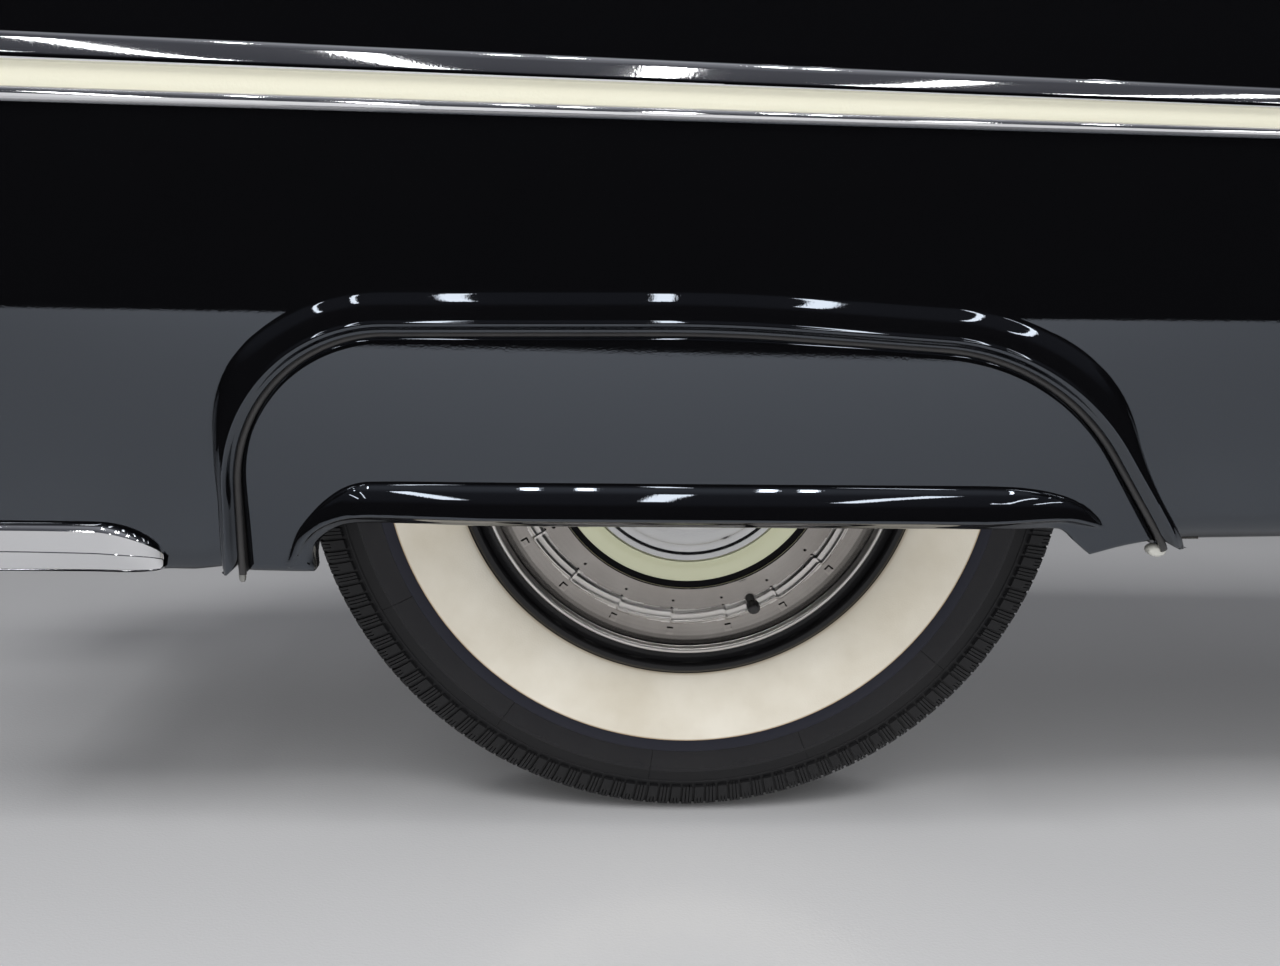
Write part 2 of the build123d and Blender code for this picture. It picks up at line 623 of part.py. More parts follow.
def damper_ears(spot, foot_height, foot_length):
    # two ears and their pin, round one eye of the damper
    ears = across(DAMPER_PIN_R, EAR_GAP, spot.X, spot.Z, spot.Y)
    foot = Pos(spot.X, spot.Z + foot_height) * Rectangle(foot_length, 6)
    for y in (-EAR_GAP / 2 - CHEEK, EAR_GAP / 2):
        ears += Pos(0, spot.Y, 0) * link_plate(Pos(spot.X, spot.Z) * Circle(EAR_R), foot, y)
    return ears


def damper():
    low = Vector(*DAMPER_LOW, SPRING_TOP - LEAVES * LEAF_THICK + LOW_EYE_RISE)
    top = Vector(*DAMPER_TOP, high(AXLE_DROP) - RAIL_HEIGHT / 2 - TOP_EYE_DROP)
    length = (top - low).length
    line = Plane(origin=low, z_dir=top - low)
    body = bar_along(line, length, TUBE_SPAN, DAMPER_R) + bar_along(line, length, ROD_SPAN, ROD_R)
    for spot in (low, top):
        body += across(DAMPER_EYE_R, DAMPER_EYE, spot.X, spot.Z, spot.Y)
        body -= across(DAMPER_PIN_R, EAR_GAP, spot.X, spot.Z, spot.Y)
    inside = bar_along(line, length, SLEEVE_SPAN, DAMPER_R + SEAT)
    sleeve = bar_along(line, length, SLEEVE_SPAN, SLEEVE_R) - bar_along(line, length, (0, 1), ROD_R)
    sleeve -= Pos(*((low - top).normalized() * SLEEVE_CAP)) * inside
    low_ears = damper_ears(low, 3 - LOW_EYE_RISE, 32)
    top_ears = damper_ears(top, TOP_EYE_DROP - 3, 40)
    return body, sleeve, low_ears, top_ears


BUFFER_HIGH = 46.0
BUFFER_FOOT_R = 24.0
BUFFER_TIP_R = 13.0


def bump_buffer():
    mid = high(AXLE_DROP) - RAIL_HEIGHT / 2 - BUFFER_HIGH / 2
    return Pos(0, -RAIL_WIDTH / 2, mid) * Cone(BUFFER_TIP_R, BUFFER_FOOT_R, BUFFER_HIGH)


# Wheel, all spun round the axle line: (radius, outboard) corners
TREAD_HALF = 60.0
TREAD_THICK = 24.0
SIDEWALL = 20.0
SIDE_RISE = 34.0             # from the rim's flange out to where the side is nearly full width
BEAD_CHAMFER = 8.0           # stands for the bead's rounded heel
# tyre section: (radius, half width) corners from the bead out over the side to the tread
TYRE_SIDE = [(BEAD_R + SEAT, RIM_HALF - BEAD_CHAMFER), (RIM_FLANGE_R - 6, RIM_HALF - 1),
             (RIM_FLANGE_R + SIDE_RISE, TYRE_WIDTH / 2 - 3), (TYRE_R - 50, TYRE_WIDTH / 2),
             (TYRE_R, TREAD_HALF)]
AIR_CORNER = (TYRE_R - TREAD_THICK, TYRE_WIDTH / 2 - SIDEWALL)


def tyre():
    # closed section round the air space, whose two sides mirror about the middle
    half = [AIR_CORNER] + TYRE_SIDE
    return spun(half + [(r, -w) for r, w in reversed(half)])


FLANGE_CURL = 6.0            # radial height of the flange's curled edge


def rim():
    # channel section: curled flange, bead seat and drop well, then the same inside
    t = RIM_THICK
    h = RIM_HALF
    lip = h + RIM_LIP
    curl = RIM_FLANGE_R - FLANGE_CURL
    well = BEAD_R - WELL_DEPTH
    outside = [(curl, lip), (RIM_FLANGE_R, lip - 4), (RIM_FLANGE_R, h + 4), (curl, h),
               (BEAD_R, h), (BEAD_R - 2, 34), (well, 24), (well, -18), (BEAD_R - 2, -30), (BEAD_R, -h),
               (curl, -h), (RIM_FLANGE_R, -h - 4), (RIM_FLANGE_R, 4 - lip), (curl, -lip)]
    inside = [(curl, t - lip), (RIM_FLANGE_R - t, -h - 4), (curl - t, -h - t), (BEAD_R - t, -h - t),
              (BEAD_R - t - 2, -30 - t), (well - t, -18 - t), (well - t, 24 + t), (BEAD_R - t - 2, 34 + t),
              (BEAD_R - t, h + t), (curl - t, h + t), (RIM_FLANGE_R - t, h + 4), (curl, lip - t)]
    return spun(outside + inside) - valve_hole()


DISC_THICK = 4.0
BOLT_LENGTH = 34.0
NUT_R = 11.0
NUT_HEIGHT = 16.0


def wheel_disc():
    t = DISC_THICK
    edge = WELL_R
    f = HUB_FACE
    outer = [(PILOT_R, f + t), (84, f + t), (104, f + 26), (128, f + 30), (edge - 10, 20), (edge, 18),
             (edge, -14)]
    inner = [(edge - t, -14), (edge - t, 14), (edge - 14, 14), (126, f + 26), (107, f + 22), (87, f),
             (PILOT_R, f)]
    disc = spun(outer + inner)
    for i in range(BOLT_COUNT):
        disc -= wheel_bolt_hole(i)
    return disc


def bolt_spot(i):
    turn = math.radians(90 + i * 360 / BOLT_COUNT)
    return BOLT_CIRCLE / 2 * math.cos(turn), AXLE_Z + BOLT_CIRCLE / 2 * math.sin(turn)


def wheel_bolt_hole(i):
    x, z = bolt_spot(i)
    return across(BOLT_R, 60, x, z, WHEEL_Y - HUB_FACE)


def wheel_bolts():
    bolts = []
    for i in range(BOLT_COUNT):
        x, z = bolt_spot(i)
        face = WHEEL_Y - HUB_FACE - DISC_THICK
        shank = across(BOLT_R, BOLT_LENGTH, x, z, face + 1)
        nut = Pos(x, face, z) * Rot(90, 0, 0) * extrude(RegularPolygon(NUT_R, 6), NUT_HEIGHT)
        bolts.append(shank + nut)
    return Compound(children=bolts)


DRUM_WEB = 6.0
DRUM_WALL = 10.0
DRUM_BOSS_R = 96.0


def brake_drum():
    w = HUB_FACE
    low = w - DRUM_DEPTH
    outside = [(PILOT_R, w), (DRUM_R - 8, w), (DRUM_R, w - 8), (DRUM_R, low + DRUM_RIB),
               (DRUM_R + DRUM_RIB, low + DRUM_RIB), (DRUM_R + DRUM_RIB, low)]
    inside = [(DRUM_R - DRUM_WALL, low), (DRUM_R - DRUM_WALL, w - 2 * DRUM_WEB), (DRUM_BOSS_R, w - DRUM_WEB),
              (PILOT_R, w - DRUM_WEB)]
    drum = spun(outside + inside)
    for i in range(BOLT_COUNT):
        drum -= wheel_bolt_hole(i)
    return drum


HUB_FLANGE_R = 78.0
HUB_FLANGE = 9.0


def axle_shaft():
    # hub flange and its pilot outboard, then the shaft in to its splined end
    w = HUB_FACE - DRUM_WEB
    end = WHEEL_Y - AXLE_INNER_Y
    pts = [(0, w + 14), (PILOT_R - 6, w + 14), (PILOT_R - 2, w + 10), (PILOT_R - 0.5, w), (HUB_FLANGE_R, w),
           (HUB_FLANGE_R, w - HUB_FLANGE), (30, w - 12), (SHAFT_R, w - 30), (SHAFT_R, end), (SPLINE_R, end),
           (SPLINE_R, end - SPLINE), (0, end - SPLINE)]
    shaft = spun(pts)
    for i in range(BOLT_COUNT):
        shaft -= wheel_bolt_hole(i)
    return shaft


# Cover: stainless dish, painted ring and bright centre
COVER_R = RIM_FLANGE_R - 18
COVER_SHEET = 1.2
RIM_SEAT = RIM_HALF + RIM_THICK
RING_OUTER_R = 127.0
RING_WIDTH = 22.0
RING_INNER_R = RING_OUTER_R - RING_WIDTH


def wheel_cover():
    # (radius, outboard) corners in from the edge: rolled rim, raised shoulder, dish, bead, ring's seat
    face = [(COVER_R, RIM_SEAT), (COVER_R, 69), (COVER_R - 6, 73.5), (COVER_R - 15, 75.5), (COVER_R - 24, 76),
            (COVER_R - 32, 72), (COVER_R - 46, 68), (RING_OUTER_R + 7, 66.5), (RING_OUTER_R + 4, 68.5),
            (RING_OUTER_R + 1, 66.5), (RING_INNER_R - 1, 64), (RING_INNER_R - 15, 64)]
    back = [(r, w - COVER_SHEET) for r, w in reversed(face[2:])] + [(COVER_R - 3, RIM_SEAT)]
    return spun(face + back) - valve_hole()


def cover_ring():
    return spun([(RING_OUTER_R, 66.7), (RING_INNER_R, 64.3), (RING_INNER_R, 68), (RING_INNER_R + 10, 70),
                 (RING_OUTER_R - 1, 69)])


def cover_centre():
    # stepped bright rings that rise to a low dome
    edge = RING_INNER_R - 1
    rings = [(edge, 64), (edge, 67), (edge - 4, 70), (edge - 12, 70), (edge - 16, 74), (edge - 26, 76)]
    dome = [(edge - 32, 74), (edge - 44, 86), (edge - 64, 94), (edge - 84, 98), (0, 99)]
    return spun([(0, 64)] + rings + dome)


VALVE_TURN = -69.0
VALVE_CIRCLE = BEAD_R - 14.5
VALVE_R = 4.5


def valve_rod(radius, low, top):
    # straight round bar through the rim and cover beside the bead seat
    x = VALVE_CIRCLE * math.cos(math.radians(VALVE_TURN))
    z = AXLE_Z + VALVE_CIRCLE * math.sin(math.radians(VALVE_TURN))
    return across(radius, top - low, x, z, WHEEL_Y - (low + top) / 2)


def valve_stem():
    return valve_rod(VALVE_R, 20, 86) + valve_rod(VALVE_R + 1.5, 18, 22)


def valve_hole():
    return valve_rod(VALVE_R + SEAT, -10, 120)


# Small fittings of the skirt's feet
PIN_SPOT = (-360.0, -86.0)
REST_SPOT = (384.6, -70.6)
REST_R = 6.0


def skirt_foot_pin():
    # bright locating pin under the front foot
    x, h = PIN_SPOT
    return Pos(x, out(104), high(h) - 8) * Cylinder(3.5, 16)


def skirt_rest():
    # white rubber plug that the rear foot rests against
    x, h = REST_SPOT
    plug = Rot(90, 0, 0) * Cylinder(REST_R, 2 * REST_R)
    return Pos(x, out(106), high(h)) * chamfer(plug.edges().filter_by(GeomType.CIRCLE), REST_R / 3)


outer_core = body_form(0, CORE_REACH - 60)
skin_core = body_form(SKIN, CORE_REACH - 160)
house_block = side_block(arch_face(HOUSE_R + SHEET, HOUSE_LOW), out(LIP_REACH), HOUSE_INNER_Y)

save(quarter_panel(), "quarter_panel")
save(fender_skirt(), "fender_skirt")
save(skirt_seal(), "skirt_seal")
for node, (low_share, high_share, proud) in MOULD_BANDS.items():
    save(moulding_band(low_share, high_share, proud, outer_core), node)
save(rocker_moulding(outer_core), "rocker_moulding")
save(wheelhouse_outer(skin_core), "wheelhouse_outer")
save(wheelhouse_inner(), "wheelhouse_inner")
save(frame_rail(), "frame_rail")
save(floor_side(house_block), "floor_side")
save(body_cushions(), "body_cushions")
sill_wall, rear_wall = inner_walls()
save(sill_wall, "sill_inner")
save(rear_wall, "luggage_side_wall")
main_leaf, lower_leaves = leaf_spring()
save(main_leaf, "spring_main_leaf")
save(lower_leaves, "spring_lower_leaves")
hanger, eye_bolt = front_hanger()
shackle, rear_bracket = rear_shackle()
save(hanger, "spring_front_hanger")
save(eye_bolt, "spring_eye_bolt")
save(shackle, "spring_shackle")
save(rear_bracket, "spring_rear_bracket")
save(axle_housing(), "axle_housing")
save(wheel_bearing(), "wheel_bearing")
save(backing_plate(), "backing_plate")
clamp_plate, u_bolts = spring_clamp()
save(clamp_plate, "spring_clamp_plate")
save(u_bolts[0], "spring_u_bolt_outer")
save(u_bolts[1], "spring_u_bolt_inner")
for piece, node in zip(damper(), ("damper_body", "damper_sleeve", "damper_lower_ears", "damper_upper_ears")):
    save(piece, node)
save(bump_buffer(), "bump_buffer")
save(skirt_foot_pin(), "skirt_foot_pin")
save(skirt_rest(), "skirt_rest")
save(tyre(), "tyre")
save(rim(), "rim")
save(wheel_disc(), "wheel_disc")
save(wheel_bolts(), "wheel_bolts")
save(brake_drum(), "brake_drum")
save(axle_shaft(), "axle_shaft")
save(wheel_cover(), "wheel_cover")
save(cover_ring(), "cover_ring")
save(cover_centre(), "cover_centre")
save(valve_stem(), "valve_stem")
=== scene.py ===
import math

import bmesh
import bpy
import numpy as np
from mathutils import Matrix, Vector


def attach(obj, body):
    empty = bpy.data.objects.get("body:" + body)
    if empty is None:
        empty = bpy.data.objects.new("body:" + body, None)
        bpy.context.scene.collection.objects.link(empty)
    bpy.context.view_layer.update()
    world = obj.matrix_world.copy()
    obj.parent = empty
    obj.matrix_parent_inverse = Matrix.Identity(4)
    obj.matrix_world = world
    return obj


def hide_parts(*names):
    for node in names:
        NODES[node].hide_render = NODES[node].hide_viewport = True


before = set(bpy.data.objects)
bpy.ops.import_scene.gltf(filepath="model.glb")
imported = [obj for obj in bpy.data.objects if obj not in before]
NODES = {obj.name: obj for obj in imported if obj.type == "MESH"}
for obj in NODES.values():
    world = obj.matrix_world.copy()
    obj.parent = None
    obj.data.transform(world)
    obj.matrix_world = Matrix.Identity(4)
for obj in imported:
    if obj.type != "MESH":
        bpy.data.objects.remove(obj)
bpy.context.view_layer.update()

# Camera
# It stands half a metre above the floor and a good metre out from the wheel, a little ahead of the
# axle, and looks slightly down and to the rear.
EYE = Vector((-0.0763, -1.5541, 0.0056))
LOOK_DOWN = math.radians(11.04)
LOOK_ASIDE = math.radians(-1.59)
LEAN = math.radians(0.69)
LENS = 37.45

lens = bpy.data.cameras.new("camera")
lens.sensor_width = 36.0
lens.lens = LENS
lens.clip_start = 0.05
camera = bpy.data.objects.new("camera", lens)
camera.matrix_world = (Matrix.Translation(EYE) @ Matrix.Rotation(LOOK_ASIDE, 4, "Z")
                       @ Matrix.Rotation(math.pi / 2 - LOOK_DOWN, 4, "X") @ Matrix.Rotation(LEAN, 4, "Z"))
bpy.context.scene.collection.objects.link(camera)
bpy.context.scene.camera = camera
bpy.context.scene.view_settings.view_transform = "Standard"


# Chassis rail
# A closed box section of pressed steel that rises over the axle. It is brushed with black chassis
# paint, which has gone dull and holds patches of road dust.
def node_material(name, base, roughness, metallic=0.0, coat=0.0, specular=0.5, ior=1.5):
    """A Principled material whose even values sit on the shader's own sockets."""
    made = bpy.data.materials.new(name)
    made.use_nodes = True
    shader = made.node_tree.nodes["Principled BSDF"]
    for socket, value in (("Base Color", (*base, 1.0)), ("Roughness", roughness), ("Metallic", metallic),
                          ("Coat Weight", coat), ("Coat Roughness", 0.02),
                          ("Specular IOR Level", specular), ("IOR", ior)):
        shader.inputs[socket].default_value = value
    return made, made.node_tree, shader


def added(tree, kind, inputs=None, **settings):
    """A new node of a tree, with its own settings and then the values of its inputs."""
    node = tree.nodes.new(kind)
    for setting, value in settings.items():
        setattr(node, setting, value)
    for socket, value in (inputs or {}).items():
        node.inputs[socket].default_value = value
    return node


def wired(tree, rows):
    """Links a tree's nodes by (node, output, node, input) rows."""
    for source, output, target, socket in rows:
        tree.links.new(source.outputs[output], target.inputs[socket])


def surface_variation():
    """Mottled colour, roughness and fine bump that every painted, cast or rubber surface carries."""
    tree = bpy.data.node_groups.new("surface variation", "ShaderNodeTree")
    for label, kind, value in (("Colour", "Color", (0.1, 0.1, 0.1, 1.0)),
                               ("Dust", "Color", (0.3, 0.28, 0.25, 1.0)),
                               ("Scale", "Float", 8.0), ("Dust amount", "Float", 0.2),
                               ("Roughness low", "Float", 0.3), ("Roughness high", "Float", 0.5),
                               ("Grain scale", "Float", 400.0)):
        socket = tree.interface.new_socket(label, in_out="INPUT", socket_type="NodeSocket" + kind)
        socket.default_value = value
    for label, kind in (("Colour", "Color"), ("Roughness", "Float"), ("Height", "Float")):
        tree.interface.new_socket(label, in_out="OUTPUT", socket_type="NodeSocket" + kind)
    given, result = added(tree, "NodeGroupInput"), added(tree, "NodeGroupOutput")
    place = added(tree, "ShaderNodeTexCoord")
    patches = added(tree, "ShaderNodeTexNoise", {"Detail": 6.0, "Roughness": 0.6})
    grain = added(tree, "ShaderNodeTexNoise", {"Detail": 3.0})
    strength = added(tree, "ShaderNodeMath", operation="MULTIPLY")
    blend = added(tree, "ShaderNodeMix", data_type="RGBA")
    rough = added(tree, "ShaderNodeMapRange")
    wired(tree, [(place, "Object", patches, "Vector"), (place, "Object", grain, "Vector"),
                 (given, "Scale", patches, "Scale"), (given, "Grain scale", grain, "Scale"),
                 (patches, "Fac", strength, 0), (given, "Dust amount", strength, 1),
                 (strength, "Value", blend, "Factor"), (given, "Colour", blend, "A"),
                 (given, "Dust", blend, "B"), (patches, "Fac", rough, "Value"),
                 (given, "Roughness low", rough, "To Min"), (given, "Roughness high", rough, "To Max"),
                 (blend, "Result", result, "Colour"), (rough, "Result", result, "Roughness"),
                 (grain, "Fac", result, "Height")])
    return tree


VARIATION = surface_variation()


def varied(name, base, rough, dust=(0.3, 0.28, 0.25), dusty=0.1, scale=8.0, grain=400.0, relief=0.0002,
           **even):
    """A material whose colour, roughness and fine relief come from the variation group."""
    made, tree, shader = node_material(name, base, sum(rough) / 2, **even)
    vary = added(tree, "ShaderNodeGroup",
                 {"Colour": (*base, 1.0), "Dust": (*dust, 1.0), "Scale": scale, "Dust amount": dusty,
                  "Roughness low": rough[0], "Roughness high": rough[1], "Grain scale": grain},
                 node_tree=VARIATION)
    bump = added(tree, "ShaderNodeBump", {"Distance": relief})
    wired(tree, [(vary, "Colour", shader, "Base Color"), (vary, "Roughness", shader, "Roughness"),
                 (vary, "Height", bump, "Height"), (bump, "Normal", shader, "Normal")])
    return made


def wear(material, *nodes):
    """Carried-over CAD nodes take the material."""
    for node in nodes:
        held = NODES[node].data.materials
        held.clear()
        held.append(material)


chassis_paint = varied("chassis paint", (0.016, 0.016, 0.017), (0.35, 0.55), dusty=0.12, relief=0.0003)
wear(chassis_paint, "frame_rail", "spring_front_hanger", "spring_rear_bracket", "backing_plate",
     "spring_clamp_plate", "damper_lower_ears", "damper_upper_ears", "axle_housing")


# Body cushions, bump buffer
# Blocks of moulded black rubber. The cushions are squeezed between the floor and the rail by the
# body's bolts, and the buffer is bonded under the rail, over the axle.
moulded_rubber = varied("moulded rubber", (0.018, 0.018, 0.018), (0.6, 0.8), dusty=0.15, grain=900.0)
wear(moulded_rubber, "body_cushions", "bump_buffer")


# Floor edge, wheelhouse and inner walls
# Thin pressed steel sheet, spot welded along its flanges and sprayed with thick black undercoat that
# has dried rough.
undercoat = varied("undercoat", (0.022, 0.021, 0.02), (0.6, 0.85), dusty=0.18, scale=5.0, grain=220.0,
                   relief=0.0012)
wear(undercoat, "floor_side", "wheelhouse_outer", "wheelhouse_inner", "sill_inner", "luggage_side_wall")


# Leaf spring and shackle
# Five leaves of rolled spring steel, black from the oil bath. The main leaf has a rolled eye at each
# end, held by the front hanger's bolt and by the shackle's two side plates.
spring_steel = varied("spring steel", (0.03, 0.028, 0.026), (0.4, 0.65), dust=(0.2, 0.12, 0.07), dusty=0.25,
                      scale=18.0, metallic=0.4)
wear(spring_steel, "spring_main_leaf", "spring_lower_leaves", "spring_shackle")


# Bolts, bearing and half shaft
# Turned and zinc plated steel, left bright and a little stained. The shaft runs inside the axle tube
# and carries the wheel on its flange.
plated_steel = varied("plated steel", (0.42, 0.41, 0.39), (0.25, 0.45), dust=(0.25, 0.2, 0.15), dusty=0.3,
                      scale=25.0, metallic=1.0)
wear(plated_steel, "spring_eye_bolt", "wheel_bearing", "spring_u_bolt_outer", "spring_u_bolt_inner",
     "wheel_bolts", "axle_shaft")


# Damper
# Two drawn steel tubes that slide in one another, dipped in grey enamel and pinned between ears on
# the spring's clamp plate and on the rail.
damper_enamel = varied("damper enamel", (0.06, 0.065, 0.07), (0.3, 0.45), dusty=0.15)
wear(damper_enamel, "damper_body", "damper_sleeve")


# Brake drum
# Grey cast iron, turned inside and rough outside, with a light bloom of rust. It is clamped between
# the shaft's flange and the wheel.
cast_iron = varied("cast iron", (0.09, 0.075, 0.06), (0.55, 0.8), dust=(0.2, 0.09, 0.04), dusty=0.4,
                   scale=14.0, grain=350.0, relief=0.0008, metallic=0.5)
wear(cast_iron, "brake_drum")


# Rim and disc
# The disc is pressed and riveted into a rolled rim, and both are sprayed gloss black. The rim's
# flange shows as a round black ring between the bright cover and the white side of the tyre.
AXLE_Z = -0.190
WHEEL_Y = -0.314
FLANGE_Y = -0.3895
RIM_FLANGE_R = 0.210
RIM_LIP_OUT = 0.0755
RIM_CURL = 0.0062
RIM_INNER_R = 0.1890

wheel_black = varied("wheel black", (0.005, 0.005, 0.006), (0.06, 0.10), dusty=0.02, relief=0.00002, ior=1.38)


def arc(centre, radius, start, end, count):
    """Points of a section's arc, as (radius, outboard), between two angles in degrees."""
    turns = np.radians(np.linspace(start, end, count))
    return [(centre[0] + radius * math.sin(a), centre[1] + radius * math.cos(a)) for a in turns]


def weld(mesh, gap):
    """Joins points of a mesh that lie within a gap, and drops faces without area."""
    made = bmesh.new()
    made.from_mesh(mesh)
    bmesh.ops.remove_doubles(made, verts=made.verts, dist=gap)
    bmesh.ops.dissolve_degenerate(made, edges=made.edges, dist=1e-6)
    made.to_mesh(mesh)
    made.free()


def mesh_object(name, verts, faces, material, sharp=40.0):
    """A smooth shaded mesh object, creased where its faces meet at more than sharp degrees."""
    mesh = bpy.data.meshes.new(name)
    mesh.from_pydata([tuple(map(float, v)) for v in verts], [], faces)
    weld(mesh, 1e-6)
    mesh.polygons.foreach_set("use_smooth", [True] * len(mesh.polygons))
    mesh.set_sharp_from_angle(angle=math.radians(sharp))
    mesh.materials.append(material)
    piece = bpy.data.objects.new(name, mesh)
    bpy.context.scene.collection.objects.link(piece)
    return piece


def grid_faces(rows, columns, wrap_rows=False, wrap_columns=False):
    """Quads between the points of a grid that is stored row by row."""
    faces = []
    for i in range(rows if wrap_rows else rows - 1):
        k = (i + 1) % rows
        for j in range(columns if wrap_columns else columns - 1):
            m = (j + 1) % columns
            faces.append((i * columns + j, i * columns + m, k * columns + m, k * columns + j))
    return faces


def sheet(name, grid, material, sharp=40.0, wrap_rows=False, wrap_columns=False):
    """A surface through a grid of points, whose rows and columns may close on themselves."""
    faces = grid_faces(*grid.shape[:2], wrap_rows, wrap_columns)
    return mesh_object(name, grid.reshape(-1, 3), faces, material, sharp)


def turned(name, section, material, around=240, closed=False, sharp=40.0):
    """A ring spun round the axle line from (radius, outboard) points, faces to the left of its walk."""
    turns = [2 * math.pi * i / around for i in range(around)]
    grid = np.array([[(r * math.cos(a), WHEEL_Y - w, AXLE_Z + r * math.sin(a)) for r, w in section]
                     for a in turns])
    return sheet(name, grid, material, sharp, True, closed)


CURL_OUT = RIM_LIP_OUT - RIM_CURL
# from the disc's rivets out to the cover's seat, round the curled flange, over the bead seats and the
# drop well to the inboard flange, and back along the well
RIM_SECTION = (
    [(0.150, 0.010), (0.166, 0.018), (0.1675, 0.026), (0.1855, 0.036), (RIM_INNER_R, 0.0665)]
    + [(0.2005, 0.0668)] + arc((0.2040, CURL_OUT), 0.0035, 230, 300, 4)
    + [(0.2010, RIM_LIP_OUT - 0.0030)] + arc((RIM_FLANGE_R - RIM_CURL, CURL_OUT), RIM_CURL, -20, 180, 20)
    + [(0.1995, 0.0615), (0.1905, 0.0610), (0.1885, 0.034), (0.1685, 0.024), (0.1685, -0.018),
       (0.1885, -0.030), (0.1905, -0.0635), (0.2040, -0.0635)] + arc((0.2040, -0.0695), 0.006, 0, 180, 10)
    + [(0.1975, -0.0725), (0.1960, -0.0665), (0.1875, -0.0665), (0.1855, -0.033), (0.1655, -0.021),
       (0.1655, 0.005), (0.150, 0.006)]
)
rim = turned("rim", RIM_SECTION, wheel_black, closed=True)
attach(rim, "wheel")
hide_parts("rim")
wear(wheel_black, "wheel_disc")


# Tyre
# A 6.70-15 cross-ply with a wide white side vulcanised over the black carcass. Outside the white
# come a raised black band, a glossy shoulder with the mould's vent lines, a scuff rib and the
# tread's lugs.
TYRE_R = 0.348
WHITE_INNER_R, WHITE_OUTER_R = 0.2115, 0.2700
BAND_R, GLOSS_R, SCUFF_R, LUG_R = 0.2805, 0.3020, 0.3130, 0.3180
OUTBOARD = 0.066             # beyond this from the tyre's middle lies its dressed side
LUG_HIGH, GROOVE_LOW = 0.0028, -0.0004
LUG_COUNT = 94
VENT_COUNT = 13
VENT_START = math.radians(13.0)


def ring_mask(tree, radius, width):
    """A mask that turns from 0 to 1 across a radius from the axle, blurred over a width."""
    place = added(tree, "ShaderNodeTexCoord")
    spoke = added(tree, "ShaderNodeVectorMath", {1: (1, 0, 1), 2: (0, 0, -AXLE_Z)}, operation="MULTIPLY_ADD")
    length = added(tree, "ShaderNodeVectorMath", operation="LENGTH")
    turn = added(tree, "ShaderNodeMapRange", {"From Min": radius - width / 2, "From Max": radius + width / 2})
    wired(tree, [(place, "Object", spoke, 0), (spoke, "Vector", length, 0), (length, "Value", turn, "Value")])
    return turn.outputs["Result"]


def colour_mix(tree, mask, below, above):
    """Joins two colours, given as sockets or as values, by a mask."""
    mix = added(tree, "ShaderNodeMix", data_type="RGBA")
    tree.links.new(mask, mix.inputs["Factor"])
    for name, colour in (("A", below), ("B", above)):
        if isinstance(colour, tuple):
            mix.inputs[name].default_value = (*colour, 1.0)
        else:
            tree.links.new(colour, mix.inputs[name])
    return mix.outputs["Result"]


def whitewall_rubber():
    """White side with yellowed edges, smoke grey soiling and a matt skin."""
    made, tree, shader = node_material("whitewall", (0.78, 0.75, 0.68), 0.55, specular=0.3)
    place = added(tree, "ShaderNodeTexCoord")
    smudge = added(tree, "ShaderNodeTexNoise", {"Scale": 13.0, "Detail": 5.0})
    spread = added(tree, "ShaderNodeMapRange", {"From Min": 0.35, "From Max": 0.75})
    grain = added(tree, "ShaderNodeTexNoise", {"Scale": 700.0})
    bump = added(tree, "ShaderNodeBump", {"Distance": 0.00015})
    wired(tree, [(place, "Object", smudge, "Vector"), (place, "Object", grain, "Vector"),
                 (smudge, "Fac", spread, "Value"), (grain, "Fac", bump, "Height"),
                 (bump, "Normal", shader, "Normal")])
    clean = colour_mix(tree, spread.outputs["Result"], (0.75, 0.71, 0.62), (0.61, 0.56, 0.46))
    inside = colour_mix(tree, ring_mask(tree, WHITE_INNER_R + 0.001, 0.002), (0.45, 0.38, 0.28), clean)
    outside = colour_mix(tree, ring_mask(tree, WHITE_OUTER_R - 0.0008, 0.0016), inside, (0.30, 0.20, 0.10))
    tree.links.new(outside, shader.inputs["Base Color"])
    return made


rubber_black = varied("tyre black", (0.0065, 0.0067, 0.008), (0.42, 0.58), dusty=0.03, grain=1200.0,
                      relief=0.0001, ior=1.33)
shoulder_gloss = varied("shoulder gloss", (0.006, 0.006, 0.008), (0.12, 0.24), dusty=0.03, scale=16.0,
                        grain=300.0, relief=0.0001, ior=1.38)
band_black = varied("band black", (0.009, 0.010, 0.018), (0.26, 0.36), dusty=0.04, grain=900.0, relief=0.0001,
                    ior=1.36)
whitewall = whitewall_rubber()


def white_bulge(r):
    """Outboard place of the white side, which swells towards the shoulder."""
    share = (r - WHITE_INNER_R) / (WHITE_OUTER_R - WHITE_INNER_R)
    return 0.0690 + 0.0185 * math.sin(0.5 * math.pi * share ** 0.72)


# (radius, outboard) corners of the dressed side, from the bead out to the middle of the tread
BEAD_SIDE = [(0.1910, 0.0590), (0.2010, 0.0612), (0.2085, 0.0665), (WHITE_INNER_R, 0.0690)]
WHITE_SIDE = [(float(r), white_bulge(r)) for r in np.linspace(WHITE_INNER_R, WHITE_OUTER_R, 26)]
BAND_SIDE = [(WHITE_OUTER_R, 0.0875), (0.2704, 0.0879), (0.2712, 0.0881), (0.2795, 0.0881), (0.2801, 0.0880),
             (BAND_R, 0.0874)]
GLOSS_SIDE = [(BAND_R, 0.0874), (0.2812, 0.0874), (0.2860, 0.0872), (0.2920, 0.0864), (0.2980, 0.0851),
              (GLOSS_R, 0.0838)]
SCUFF_SIDE = [(GLOSS_R, 0.0838), (0.3026, 0.0833), (0.3080, 0.0818), (0.3122, 0.0804), (SCUFF_R, 0.0810),
              (0.3140, 0.0806), (0.3146, 0.0790), (LUG_R, 0.0768)]
